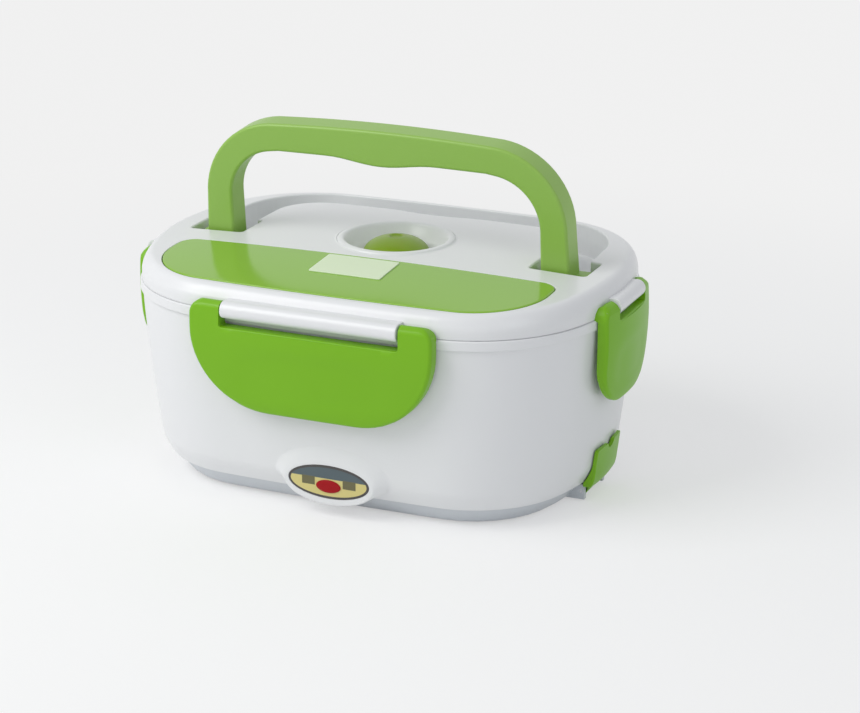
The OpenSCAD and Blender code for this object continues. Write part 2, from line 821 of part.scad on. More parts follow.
module indicator_lens() color("firebrick")
    oval(lens_a - 0.1, lens_b - 0.1, panel_t + 0.8, lens_z);

module indicator_lamp() color("orangered") {
    translate([panel_x, panel_y + panel_t + 7.6, lens_z])
        rotate([90, 0, 0]) {
            cylinder(r = lamp_r, h = 7.4);
            cylinder(r = lamp_r + 0.5, h = 1);
        }
}

// ---- wiring: insulated leads in the base, swept along points chosen by hand ----

lead_r = 1.1;
lamp_lead_r = 0.7;
lead_sides = 8;

tail_x = inlet_back_x - pin_tail - soft;
terminal_x = heater_x + heater_l / 2 + 5 + soft;
terminal_z = plate_z - heater_h / 2;
fuse_end = fuse_l / 2 + 5 + soft;
blade_z = plate_z - stud_h - 13.2;

live_route = [[tail_x, pin_pitch / 2, inlet_z], [tail_x - 5, pin_pitch / 2, inlet_z - 0.6],
    [70, 5, 11], [60, 5, 7.4], [51, 2, 5.6], [thermostat_x + 7, 0, 5], [thermostat_x + 4.4, 0, 6.2],
    [thermostat_x + 4, 0, blade_z]];
switched_route = [[thermostat_x - 4, 0, blade_z], [thermostat_x - 4.4, 0, 6.2],
    [thermostat_x - 7, 3, 5], [30, 11, 6], [30, 18, 9], [29, fuse_y, 15], [fuse_x + fuse_end + 5, fuse_y, 21],
    [fuse_x + fuse_end, fuse_y, fuse_z]];
fuse_route = [[fuse_x - fuse_end, fuse_y, fuse_z], [fuse_x - fuse_end - 3, fuse_y - 0.2, 22],
    [fuse_x - fuse_end - 3, fuse_y - 1.6, 17], [4, 19, 13.5], [16, 16, 14], [24, 11, 17],
    [terminal_x + 3.5, heater_w / 4 + 0.4, 21], [terminal_x, heater_w / 4, terminal_z]];
neutral_route = [[tail_x, -pin_pitch / 2, inlet_z], [tail_x - 5, -pin_pitch / 2, inlet_z - 0.6],
    [70, -10, 9.4], [58, -18, 7], [44, -20, 6.6], [32, -16, 8], [27, -10, 15],
    [terminal_x + 3.5, -heater_w / 4 - 0.4, 21], [terminal_x, -heater_w / 4, terminal_z]];

// points on a smooth curve through the route's points
function spline(p, n) = concat([for (k = [0:len(p) - 2]) for (i = [0:n - 1])
    let (t = i / n, a = p[max(0, k - 1)], b = p[k], c = p[k + 1], d = p[min(len(p) - 1, k + 2)])
    0.5 * (2 * b + (c - a) * t + (2 * a - 5 * b + 4 * c - d) * t * t
        + (3 * b - a - 3 * c + d) * t * t * t)], [p[len(p) - 1]]);

function unit(v) = v / norm(v);

module tube(path, r) {
    last = len(path) - 1;
    loft([for (i = [0:last])
        let (dir = unit(path[min(last, i + 1)] - path[max(0, i - 1)]),
             side = unit(cross(dir, [0.13, 0.21, 0.97])), up = cross(side, dir))
        [for (s = [0:lead_sides - 1]) let (a = 360 * s / lead_sides)
            path[i] + r * (cos(a) * up + sin(a) * side)]]);
}

module live_lead() color("saddlebrown") tube(spline(live_route, 4), lead_r);

module switched_lead() color("saddlebrown") {
    tube(spline(switched_route, 4), lead_r);
    tube(spline(fuse_route, 4), lead_r);
}

module neutral_lead() color("royalblue") tube(spline(neutral_route, 4), lead_r);

module lamp_leads() color("dimgray")
    for (s = [-1, 1])
        tube(spline([[panel_x + s * 1.4, panel_y + panel_t + 7.6, lens_z],
            [panel_x + s * 2, -60, 12], [s * 3 + 2, -50, 9],
            [s * 4 + 2, -36, 8], [s * 5 + 10, -24, 9],
            [heater_x + heater_l / 2 - 8 + s * 4, -heater_w / 2 - 2.5, 17]], 4), lamp_lead_r);

// ---- food tray and side box ----

module food_tray() color(WHITE) {
    wall_in = function (z) tray_top_in + (tray_foot_in - tray_top_in)
        * pow((flange_top - z) / (flange_top - tray_foot_z), 1.4);
    curve = 6;
    outer = concat([[tray_foot_in + curve, tray_foot_z], [tray_foot_in + 0.35 * curve, tray_foot_z + 1.4]],
        [for (z = steps_between(tray_foot_z + curve, flange_top - flange_t, 3)) [wall_in(z), z]],
        [[tray_rim_in, flange_top - flange_t], [tray_rim_in, flange_top]]);
    inner = concat([[tray_foot_in + curve + tray_t, tray_foot_z + tray_t],
        [tray_foot_in + 0.35 * curve + tray_t, tray_foot_z + tray_t + 1.4]],
        [for (z = steps_between(tray_foot_z + curve + tray_t, flange_top, 3)) [wall_in(z) + tray_t, z]],
        [[tray_top_in + tray_t, flange_top + 1]]);
    difference() {
        outline_loft(outer);
        difference() {
            outline_loft(inner);
            translate([divider_x - divider_t / 2, -lot / 2, 0])
                cube([divider_t, lot, flange_top - 2]);
        }
    }
}

box_x = divider_x + divider_t / 2 + box_gap;
box_foot_z = tray_foot_z + tray_t + soft;
box_top = flange_top - box_drop;
box_top_in = tray_top_in + tray_t + box_gap + 1.4;
box_foot_in = tray_foot_in + tray_t + box_gap + 3.2;

// D shape: a straight side at x0, then the bowed outline drawn in by t
function d_shape(x0, t, r) =
    let (reach = side_bow_r - t - r, cx = x0 + r,
         cy = side_c.y + sqrt(reach * reach - cx * cx),
         lean = angle_of([cx, cy] - side_c),
         upper = concat(
            arc(end_c, end_bow_r - t, 0, end_ang, 3),
            tail(arc(corner_c, corner_r - t, end_ang, side_ang, 6)),
            arc([cx, cy], r, lean, 180, 6)))
    concat(upper, [for (p = tail(reversed(upper))) [p.x, -p.y]]);

module side_box() color(WHITE) {
    curve = 4;
    outer = [[curve, box_foot_in + curve, box_foot_z], [0.3 * curve, box_foot_in + 0.3 * curve, box_foot_z + 1.2],
        [0, box_foot_in - 0.4, box_foot_z + curve], [0, box_top_in, box_top]];
    difference() {
        loft([for (s = outer) ring_at(d_shape(box_x + s[0], s[1], box_corner_r), s[2])]);
        loft([for (s = concat(outer, [[0, box_top_in, box_top + 1]]))
            ring_at(d_shape(box_x + s[0] + box_t, s[1] + box_t, box_corner_r - box_t), s[2] + box_t)]);
    }
}

module side_box_lid() color(GREEN) {
    z = box_top + 0.1;
    grow = 0.4;
    lip_gap = 0.8;
    lip_r = box_corner_r - box_t;
    difference() {
        union() {
            translate([0, 0, z])
                linear_extrude(box_lid_t)
                    polygon(d_shape(box_x - grow, box_top_in - grow, box_corner_r));
            translate([0, 0, z - 2.4])
                linear_extrude(2.4 + eps)
                    difference() {
                        polygon(d_shape(box_x + box_t + soft, box_top_in + box_t + lip_gap, lip_r));
                        polygon(d_shape(box_x + 2 * box_t, box_top_in + 2 * box_t + lip_gap, lip_r));
                    }
        }
        translate([box_x - grow - 1.2, 0, z - eps])
            cylinder(r = 2.4, h = 10);
    }
}

// ---- lid ----

dome_a = 100;
dome_b = 0.94 * lid_w / 2;
level_y = 8;
edge_r = 6;
edge_h = 6;

function above(v) = max(0, v);
function rim_height(y) = rim_z
    - front_drop * pow(above(-y - level_y) / (lid_w / 2 - level_y), 1.2);
function lid_top(p) = rim_height(p.y)
    + dome_h * above(1 - pow(p.x / dome_a, 2)) * above(1 - pow(p.y / dome_b, 2));

// rounded edge and domed top, as rings that end in a point
module lid_blank() {
    edge = [for (a = [0, 25, 50, 70, 90]) [edge_r * (1 - cos(a)), sin(a)]];
    flat = [for (t = [18, 34, 50]) [for (p = outline(t)) [p.x, p.y, lid_top(p)]]];
    rounded = [for (e = edge) [for (p = outline(e[0]))
        [p.x, p.y, lid_top(p) - edge_h * (1 - e[1])]]];
    loft(concat([ring_at(outline(0.6), lid_z), ring_at(outline(0), lid_z + 0.6)], rounded, flat,
        [[for (p = outline(50)) [p.x / 20, p.y / 20, lid_top([0, 0])]]]));
}

// ---- handle outlines, as [across, up from the hinge line], grown outwards by g ----

crown_run = handle_a - handle_r;
crown_r = (crown_run * crown_run + grip_crown * grip_crown) / (2 * grip_crown);
inner_r = handle_r - leg_w - 1;
inner_a = handle_a - leg_w;
inner_h = handle_h - grip_t;
foot_drop = 3.4;

function handle_outer(g, foot) = concat(
    [[handle_a + handle_flare + g, foot]],
    arc([crown_run, handle_h - grip_crown - handle_r], handle_r + g, 0, 84, 9),
    [for (x = [0.75, 0.5, 0.25, 0]) [x * crown_run, handle_h + g - grip_crown * x * x]]);

function swell(x) = swell_h * (abs(x) < swell_a ? pow(cos(90 * x / swell_a), 2) : 0);

function handle_inner(g, foot) = concat(
    [[inner_a + g, foot]],
    arc([inner_a - inner_r, inner_h - inner_r - 0.8], inner_r + g, 0, 84, 7),
    [for (i = [8:-1:0]) let (x = i * (inner_a - inner_r - 2) / 8)
        [x, inner_h + g - 0.8 * pow(x / inner_a, 2) - swell(x)]]);

function both_sides(right) = concat(right, [for (p = tail(reversed(right))) [-p.x, p.y]]);

slot_x0 = inner_a - 5;
slot_x1 = handle_a + handle_flare + 7.6;
slot_front = pivot_y - 13;
slot_back = pivot_y + 6.5;
groove_z = pivot_z - handle_d / 2 + 2.6;
mid_off = -3.4;
groove_out = 2.5;
groove_inside = -2;

module groove_2d(wall_g = 0) {
    translate([0, pivot_y])
        difference() {
            polygon(both_sides(handle_outer(groove_out + wall_g, -2)));
            polygon(both_sides(handle_inner(groove_inside - wall_g, -4)));
        }
}

module slots_2d(wall_g = 0) {
    for (s = [-1, 1])
        translate([s > 0 ? slot_x0 - wall_g : -slot_x1 - wall_g, slot_front - wall_g])
            square([slot_x1 - slot_x0 + 2 * wall_g, slot_back - slot_front + 2 * wall_g]);
}

// ---- spoon bay outline, grown by g ----

function front_y(x, t) = -(side_c.y + sqrt(pow(side_bow_r - t, 2) - x * x));

function cover_shape(g) =
    let (t = cover_in - g, a = cover_a + g, r = cover_corner_r + g, b = 8 + g,
         back = cover_back_y + g, x = a - r, y = front_y(x, t) + r,
         right = concat(
            [for (u = [0.5, 1]) [u * x, front_y(u * x, t)]],
            tail(arc([x, y], r, -90, 0, 8)),
            arc([a - b, back - b], b, 0, 90, 4)),
         left = [for (p = reversed(right)) [-p.x, p.y]])
    concat([[0, front_y(0, t)]], right, left);

cover_mid = [0, (cover_back_y + front_y(0, cover_in)) / 2];
bay_floor_z = liner_top + floor_t;

module cover_seat() {
    draped(cover_shape(cover_gap), cover_mid, function (p) lid_top(p) - cover_t - 0.1, function (p) rim_z + 20);
}

module bay_2d(wall_g = 0) {
    polygon(cover_shape(-cover_ledge + wall_g));
}

vent_floor_z = rim_z - 6.6;
vent_floor_r = plug_r + 2;
vent_mouth_r = vent_r - 3;

module vent_lip() {
    translate([0, vent_y, 0])
        rotate_extrude($fn = 96)
            polygon([[vent_mouth_r - 3, rim_z - 2], [vent_mouth_r - 3, rim_z + vent_lip - 1],
                [vent_mouth_r, rim_z + vent_lip - 0.2], [vent_mouth_r + 0.8, rim_z + vent_lip],
                [vent_r - 1, rim_z + vent_lip - 0.4], [vent_r, rim_z + vent_lip - 1.4],
                [vent_r + 0.6, rim_z - 2]]);
}

module vent_funnel() {
    translate([0, vent_y, 0])
        rotate_extrude($fn = 96)
            polygon([[0, vent_floor_z], [vent_floor_r, vent_floor_z],
                [vent_floor_r + 2, vent_floor_z + 3], [vent_mouth_r - 1.4, rim_z + vent_lip - 2],
                [vent_mouth_r, rim_z + vent_lip], [vent_mouth_r, rim_z + 30], [0, rim_z + 30]]);
    translate([0, vent_y, 0])
        cylinder(r = steam_r, h = rim_z);
}

// the room under the top, open from below between the recess walls
module lid_room(t) {
    translate([0, 0, liner_top - 1])
        linear_extrude(lot)
            difference() {
                polygon(outline(t));
                groove_2d(lid_t);
                slots_2d(lid_t);
                bay_2d(lid_t);
            }
}

module lid_hollow() {
    difference() {
        union() {
            intersection() {
                lid_room(plug_in + lid_t);
                translate([0, 0, lid_z + edge_h - lot])
                    cylinder(r = lot, h = lot);
            }
            intersection() {
                lid_room(edge_r + lid_t);
                translate([0, 0, -lid_t])
                    lid_blank();
            }
        }
        translate([0, vent_y, vent_floor_z - floor_t])
            cylinder(r = vent_r + 1, h = lot);
        translate([0, vent_y, 0])
            cylinder(r = steam_r + 2, h = rim_z);
    }
}

latch_z = rim_z - latch_drop;

// one hinge bar with the web that joins it to the lid's side
module hinge_bar(half_len, edge, out) {
    difference() {
        union() {
            translate([-half_len, -edge - out, latch_z])
                rotate([0, 90, 0])
                    cylinder(r = bar_r, h = 2 * half_len);
            translate([-half_len, -edge - out, lid_z + 0.2])
                cube([2 * half_len, out + lid_t + 2, latch_z + bar_r - lid_z - 0.6]);
        }
        translate([-half_len - 1, -edge - collar_out - 0.35, 0])
            cube([2 * half_len + 2, lot, lid_z]);
        for (s = [-1, 1])
            translate([s * (half_len - 5), -edge - out, latch_z])
                rotate([0, 90, 0])
                    cylinder(r = latch_pin_r, h = 10 + eps, center = true);
    }
}

// puts a front-facing piece on each side: [turn, distance of that side, half bar, hinge offset]
sides = [[0, lid_w / 2, bar_a, latch_out], [180, lid_w / 2, bar_a, latch_out],
    [90, lid_l / 2, end_bar_a, end_latch_out], [270, lid_l / 2, end_bar_a, end_latch_out]];

module on_side(i) {
    rotate([0, 0, sides[i][0]])
        children();
}

module lid_top_part() {
    difference() {
        union() {
            lid_blank();
            vent_lip();
            outline_ring(plug_in, plug_in + lid_t, liner_top, lid_z + 3);
            translate([0, 0, liner_top])
                linear_extrude(lid_z + 2 - liner_top)
                    intersection() {
                        union() {
                            groove_2d(lid_t);
                            slots_2d(lid_t);
                            bay_2d(lid_t);
                        }
                        polygon(outline(plug_in));
                    }
            translate([0, vent_y, liner_top])
                cylinder(r = steam_r + 2, h = vent_floor_z - liner_top);
        }
        lid_hollow();
        translate([0, 0, groove_z])
            linear_extrude(lot)
                groove_2d();
        translate([0, 0, slot_z])
            linear_extrude(lot)
                slots_2d();
        translate([0, 0, bay_floor_z])
            linear_extrude(lot)
                bay_2d();
        cover_seat();
        vent_funnel();
        for (i = [2, 3])
            on_side(i)
                for (s = [0, 1])
                    mirror([s, 0, 0])
                        translate([end_bar_a, -lid_l / 2 - end_latch_out, latch_z])
                            rotate([0, 90, 0])
                                cylinder(r = end_ear_r + 0.4, h = end_latch_a - end_bar_a + 2);
    }
}

module lid_shell() color(WHITE)
    difference() {
        union() {
            lid_top_part();
            for (i = [0:3])
                on_side(i)
                    hinge_bar(sides[i][2], sides[i][1], sides[i][3]);
        }
        for (s = [-1, 1])
            translate([s * (slot_x0 + slot_x1) / 2, pivot_y, pivot_z])
                rotate([0, 90, 0])
                    cylinder(r = handle_pin_r, h = slot_x1 - slot_x0 + 2 * pin_seat, center = true);
    }

pin_seat = 2;

module handle_pins() color(STEEL)
    for (s = [-1, 1])
        translate([s * (slot_x0 + slot_x1) / 2, pivot_y, pivot_z])
            rotate([0, 90, 0])
                cylinder(r = handle_pin_r, h = slot_x1 - slot_x0 + 2 * pin_seat, center = true);

module lid_liner() color(WHITE)
    difference() {
        translate([0, 0, liner_top - liner_t])
            linear_extrude(liner_t)
                polygon(outline(plug_in));
        translate([0, vent_y, 0])
            cylinder(r = steam_r, h = body_h + lid_h);
    }

module lid_gasket() color([0.86, 0.87, 0.86]) {
    outline_ring(plug_in + 0.6, plug_in + 0.6 + gasket_w, gasket_top - gasket_h / 2, gasket_top);
    outline_ring(plug_in + 1.4, plug_in + 3, gasket_top - gasket_h, gasket_top - gasket_h / 2 + eps);
}

module spoon_cover() color(GREEN)
    draped(cover_shape(0), cover_mid, function (p) lid_top(p) - cover_t, function (p) lid_top(p) + 0.3);

module label_plate() color([0.80, 0.90, 0.66]) {
    back = cover_back_y - 3;
    mid = [0, back - label_w / 2];
    draped([for (p = rounded_box(label_l, label_w, 0.8)) p + mid], mid,
        function (p) lid_top(p) + 0.36, function (p) lid_top(p) + 0.86);
}

module spoon() color(WHITE) {
    y = cover_mid.y;
    z = bay_floor_z + 0.2;
    bowl_l = 1.5 * spoon_w;
    bowl_c = [bowl_l / 2 - spoon_l / 2, y];
    dish = function (p) 5 * pow(norm([(p.x - bowl_c.x) / bowl_l, (p.y - y) / spoon_w]) * 2, 2);
    draped([for (p = ellipse(bowl_l / 2, spoon_w / 2, 32)) bowl_c + p], bowl_c,
        function (p) z + dish(p), function (p) z + 1.6 + dish(p));
    translate([bowl_c.x + bowl_l / 2 - 2, y - 5, z + 4.2])
        cube([spoon_l - bowl_l + 2, 10, 1.8]);
}

module vent_plug() color(OLIVE) {
    translate([0, vent_y, vent_floor_z + 0.2])
        rotate_extrude($fn = 96)
            polygon(concat([[0, -5.4], [steam_r - soft, -5.4], [steam_r - soft, 0], [plug_r - 0.6, 0]],
                [for (a = [0:12:72]) [plug_r * cos(a), 1 + (plug_h - 1) * sin(a)]],
                [[3.6, plug_h - 0.2], [3.2, plug_h - 0.8], [0, plug_h - 0.8]]));
}

// ---- handle ----

hub_x0 = slot_x0 + 2;
hub_x1 = slot_x1 - 2;

module handle() color(GREEN)
    translate([0, pivot_y, pivot_z])
        rotate([handle_lean, 0, 0])
            difference() {
                union() {
                    intersection() {
                        translate([0, mid_off + handle_d / 2, 0])
                            rotate([90, 0, 0])
                                linear_extrude(handle_d)
                                    difference() {
                                        polygon(both_sides(handle_outer(0, -foot_drop)));
                                        polygon(both_sides(handle_inner(0, -lot)));
                                    }
                        rotate([90, 0, 90])
                            translate([0, 0, -lot / 2])
                                linear_extrude(lot)
                                    polygon([[mid_off - handle_d / 2, -foot_drop], [1.5, -foot_drop],
                                        [mid_off + handle_d / 2, -1.4], [mid_off + handle_d / 2, lot],
                                        [mid_off - handle_d / 2, lot]]);
                    }
                    for (s = [0, 1])
                        mirror([s, 0, 0])
                            translate([hub_x0, 0, 0])
                                rotate([0, 90, 0])
                                    cylinder(r = hub_r, h = hub_x1 - hub_x0);
                }
                translate([-lot / 2, 0, 0])
                    rotate([0, 90, 0])
                        cylinder(r = handle_pin_r + run, h = lot);
            }

// ---- latches ----

ear_gap = 0.8;
ear_bore = 10.4;
notch_z = latch_z - notch_drop;
latch_foot_z = latch_z - latch_h;
inner_out = collar_out + 0.6;
skirt_t = 2.2;
hook_h = 3;

function latch_shape(a, r, ear, g) = concat(
    arc([shoulder_r - a, latch_z + ear - shoulder_r], shoulder_r - g, 90, 180, 5),
    arc([r - a, latch_foot_z + r], r - g, 180, 270, 8),
    arc([a - r, latch_foot_z + r], r - g, 270, 360, 8),
    arc([a - shoulder_r, latch_z + ear - shoulder_r], shoulder_r - g, 0, 90, 5));

module latch_prism(a, r, ear, g, edge) {
    translate([0, 20 - edge, 0])
        rotate([90, 0, 0])
            linear_extrude(60)
                polygon(latch_shape(a, r, ear, g));
}

// outer face of a flap, as [distance outside the lid's outline, height], drawn in by g
function latch_face(face, g) =
    let (drop = latch_z - latch_foot_z)
    [[face - g, latch_z], [face + 0.5 - g, latch_z - 0.28 * drop], [face - 0.3 - g, latch_z - 0.62 * drop],
     [face - 1.4 - g, latch_z - 0.86 * drop], [face - 3 - g, latch_foot_z - 1]];

// one latch, drawn on the front side: a hollow D-shaped flap with two ears
module latch(a, r, bar, bow, edge, out, ear, face) {
    c = [0, bow - edge];
    reach = asin((a + 6) / bow);
    difference() {
        intersection() {
            latch_prism(a, r, ear, 0, edge);
            union() {
                bow_band(c, bow, 270, reach,
                    concat(latch_face(face, 0), [[inner_out, latch_foot_z - 1], [inner_out, latch_z]]));
                for (s = [0, 1])
                    mirror([s, 0, 0])
                        translate([bar + ear_gap, -edge - out, latch_z])
                            rotate([0, 90, 0])
                                cylinder(r = ear, h = a - bar - ear_gap);
            }
        }
        intersection() {
            latch_prism(a, r, ear, skirt_t, edge);
            bow_band(c, bow, 270, reach,
                concat(latch_face(face, latch_t), [[-5, latch_foot_z - 1], [-5, latch_z]]));
            translate([-lot / 2, -lot, latch_foot_z - 5])
                cube([lot, lot, notch_z - skirt_t - latch_foot_z + 5]);
        }
        translate([-bar - ear_gap, -edge - 30, notch_z])
            cube([2 * (bar + ear_gap), 60, lot]);
        for (s = [0, 1])
            mirror([s, 0, 0])
                translate([bar, -edge - out, latch_z])
                    rotate([0, 90, 0])
                        cylinder(r = latch_pin_r + run, h = ear_bore + ear_gap);
    }
    intersection() {
        bow_band(c, bow, 270, reach, [
            [inner_out, rail_z - 0.4], [inner_out, rail_z - 0.4 - hook_h / 2],
            [face - latch_t - 0.2, rail_z - 0.4 - hook_h], [face - latch_t + 0.4, rail_z - 0.4]]);
        translate([2 - bar, -edge - 30, 0])
            cube([2 * bar - 4, 60, lot]);
    }
}

module long_latch(i) {
    on_side(i)
        latch(latch_a, latch_corner_r, bar_a, side_bow_r, lid_w / 2, latch_out, ear_r, latch_out + ear_r);
}

module short_latch(i) {
    on_side(i)
        latch(end_latch_a, end_latch_corner_r, end_bar_a, end_bow_r, lid_l / 2, end_latch_out, end_ear_r,
            end_latch_out + end_ear_r + 1.6);
}

module front_latch() color(GREEN) long_latch(0);

module back_latch() color(GREEN) long_latch(1);

module right_latch() color(GREEN) short_latch(2);

module left_latch() color(GREEN) short_latch(3);

latch_pin_l = 18;

module latch_pins() color(STEEL)
    for (i = [0:3])
        on_side(i)
            for (s = [-1, 1])
                translate([s * (sides[i][2] + ear_gap + ear_bore - 0.6 - latch_pin_l / 2),
                    -sides[i][1] - sides[i][3], latch_z])
                    rotate([0, 90, 0])
                        cylinder(r = latch_pin_r, h = latch_pin_l, center = true);

outer_shell();
base_plate();
base_screws();
rubber_feet();
heating_plate();
plate_seal();
ptc_heater();
heater_clamp();
heater_screws();
thermostat();
thermal_fuse();
fuse_clip();
power_inlet();
inlet_pins();
inlet_flap();
flap_pin();
indicator_panel();
indicator_lens();
indicator_lamp();
live_lead();
switched_lead();
neutral_lead();
lamp_leads();
food_tray();
side_box();
side_box_lid();
lid_shell();
lid_liner();
lid_gasket();
spoon_cover();
label_plate();
spoon();
vent_plug();
handle();
handle_pins();
front_latch();
back_latch();
right_latch();
left_latch();
latch_pins();
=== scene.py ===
from math import acos, asin, atan2, cos, degrees, hypot, pi, radians, sin, sqrt

import bmesh
import bpy
from mathutils import Matrix, Vector


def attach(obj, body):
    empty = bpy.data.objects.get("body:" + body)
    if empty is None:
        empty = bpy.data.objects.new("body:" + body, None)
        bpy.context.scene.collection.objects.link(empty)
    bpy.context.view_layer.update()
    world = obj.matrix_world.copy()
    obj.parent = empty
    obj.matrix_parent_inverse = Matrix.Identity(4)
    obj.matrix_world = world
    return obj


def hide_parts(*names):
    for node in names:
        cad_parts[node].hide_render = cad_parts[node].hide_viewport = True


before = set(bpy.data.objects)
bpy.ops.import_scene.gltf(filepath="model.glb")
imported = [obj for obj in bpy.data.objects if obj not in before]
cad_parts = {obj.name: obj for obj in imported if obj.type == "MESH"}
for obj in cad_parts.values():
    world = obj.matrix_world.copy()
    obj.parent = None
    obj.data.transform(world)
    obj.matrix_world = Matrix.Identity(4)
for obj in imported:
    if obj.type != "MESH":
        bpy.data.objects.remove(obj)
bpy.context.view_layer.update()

# ---- camera, floor and light ----
# A plain studio: the lens stands where the photograph was taken, a soft box on the left and a weaker one
# on the right light a pale floor that fades into the backdrop.

EYE = Vector((0.4737, -1.04206, 0.44548))
SIGHT = Vector((-0.37712, 0.86749, -0.32441))
LENS = 105.5
BACKDROP = (0.876, 0.876, 0.876, 1)
SKYLIGHT, SKY_STRENGTH = (0.94, 0.965, 1, 1), 0.53
FLOOR_HALF = 6.0
FADE_FROM, FADE_TO = 0.20, 0.60
CARD_LIT, CARD_SEEN, CARD_GLOW = (0.93, 0.93, 0.93, 1), (0.52, 0.52, 0.52, 1), 0.45

camera = bpy.data.objects.new("camera", bpy.data.cameras.new("camera"))
bpy.context.scene.collection.objects.link(camera)
bpy.context.scene.camera = camera
camera.location = EYE
camera.rotation_mode = "QUATERNION"
camera.rotation_quaternion = SIGHT.to_track_quat("-Z", "Y")
camera.data.lens = LENS
camera.data.sensor_width = 36
camera.data.clip_start = 0.05
camera.data.clip_end = 30
bpy.context.scene.view_settings.view_transform = "Standard"


def soft_box(name, place, aim, size, watts, tint):
    lamp = bpy.data.lights.new(name, "AREA")
    lamp.shape = "RECTANGLE"
    lamp.size, lamp.size_y = size
    lamp.energy = watts
    lamp.color = tint
    box = bpy.data.objects.new(name, lamp)
    box.location = place
    box.rotation_mode = "QUATERNION"
    box.rotation_quaternion = (Vector(aim) - Vector(place)).to_track_quat("-Z", "Y")
    bpy.context.scene.collection.objects.link(box)


soft_box("key_box", place=(-0.66, -0.70, 0.92), aim=(0, 0, 0.05), size=(0.8, 0.8), watts=8.2,
         tint=(1, 0.995, 0.98))
soft_box("fill_box", place=(1.5, -0.9, 0.9), aim=(0, 0, 0.06), size=(0.8, 1.0), watts=2.3,
         tint=(0.95, 0.98, 1))


def added(tree, kind, inputs=None, **settings):
    """A new shader node with its settings and its unlinked inputs."""
    node = tree.nodes.new(kind)
    for name, value in settings.items():
        setattr(node, name, value)
    for name, value in (inputs or {}).items():
        node.inputs[name].default_value = value
    return node


def wire(source, out, target, into):
    """Links an output of one shader node to an input of another."""
    source.id_data.links.new(source.outputs[out], target.inputs[into])


def seen_directly(tree):
    """1 for camera, glossy and transmitted rays, 0 for the rays that light the object."""
    path = added(tree, "ShaderNodeLightPath")
    first = added(tree, "ShaderNodeMath", operation="MAXIMUM")
    both = added(tree, "ShaderNodeMath", operation="MAXIMUM")
    wire(path, "Is Camera Ray", first, 0)
    wire(path, "Is Glossy Ray", first, 1)
    wire(first, 0, both, 0)
    wire(path, "Is Transmission Ray", both, 1)
    return both


world = bpy.data.worlds.new("studio")
bpy.context.scene.world = world
world.use_nodes = True
sky = world.node_tree
sky.nodes.clear()
ambient = added(sky, "ShaderNodeBackground", {"Color": SKYLIGHT, "Strength": SKY_STRENGTH})
shown_sky = added(sky, "ShaderNodeBackground", {"Color": BACKDROP})
sky_mix = added(sky, "ShaderNodeMixShader")
sky_out = added(sky, "ShaderNodeOutputWorld")
wire(seen_directly(sky), 0, sky_mix, "Fac")
wire(ambient, 0, sky_mix, 1)
wire(shown_sky, 0, sky_mix, 2)
wire(sky_mix, 0, sky_out, "Surface")

floor_mesh = bpy.data.meshes.new("floor")
floor_mesh.from_pydata([(-FLOOR_HALF, -FLOOR_HALF, 0), (FLOOR_HALF, -FLOOR_HALF, 0),
                        (FLOOR_HALF, FLOOR_HALF, 0), (-FLOOR_HALF, FLOOR_HALF, 0)], [], [(0, 1, 2, 3)])
floor = bpy.data.objects.new("floor", floor_mesh)
bpy.context.scene.collection.objects.link(floor)
card = bpy.data.materials.new("pale_card")
card.use_nodes = True
tree = card.node_tree
tree.nodes.clear()
card_tone = added(tree, "ShaderNodeMix", {"A": CARD_LIT, "B": CARD_SEEN}, data_type="RGBA")
card_paint = added(tree, "ShaderNodeBsdfDiffuse")
wire(seen_directly(tree), 0, card_tone, "Factor")
wire(card_tone, "Result", card_paint, "Color")
lift_amount = added(tree, "ShaderNodeMath", {1: CARD_GLOW}, operation="MULTIPLY")
card_lift = added(tree, "ShaderNodeEmission", {"Color": (1, 1, 1, 1)})
lit_card = added(tree, "ShaderNodeAddShader")
wire(seen_directly(tree), 0, lift_amount, 0)
wire(lift_amount, 0, card_lift, "Strength")
wire(card_paint, 0, lit_card, 0)
wire(card_lift, 0, lit_card, 1)
place = added(tree, "ShaderNodeTexCoord")
reach = added(tree, "ShaderNodeVectorMath", operation="LENGTH")
fade = added(tree, "ShaderNodeMapRange", {"From Min": FADE_FROM, "From Max": FADE_TO},
             interpolation_type="SMOOTHSTEP")
only_seen = added(tree, "ShaderNodeMath", operation="MULTIPLY")
wire(place, "Object", reach, 0)
wire(reach, "Value", fade, "Value")
wire(fade, "Result", only_seen, 0)
wire(seen_directly(tree), 0, only_seen, 1)
card_glow = added(tree, "ShaderNodeEmission", {"Color": BACKDROP})
card_mix = added(tree, "ShaderNodeMixShader")
card_out = added(tree, "ShaderNodeOutputMaterial")
wire(only_seen, 0, card_mix, "Fac")
wire(lit_card, 0, card_mix, 1)
wire(card_glow, 0, card_mix, 2)
wire(card_mix, 0, card_out, "Surface")
floor_mesh.materials.append(card)

# ---- outer shell of the body ----
# The tapering white shell is one injection moulding in glossy plastic: a collar runs round its top edge,
# a rail sits under each latch for its hook, and an oval boss on the front carries the face plate.

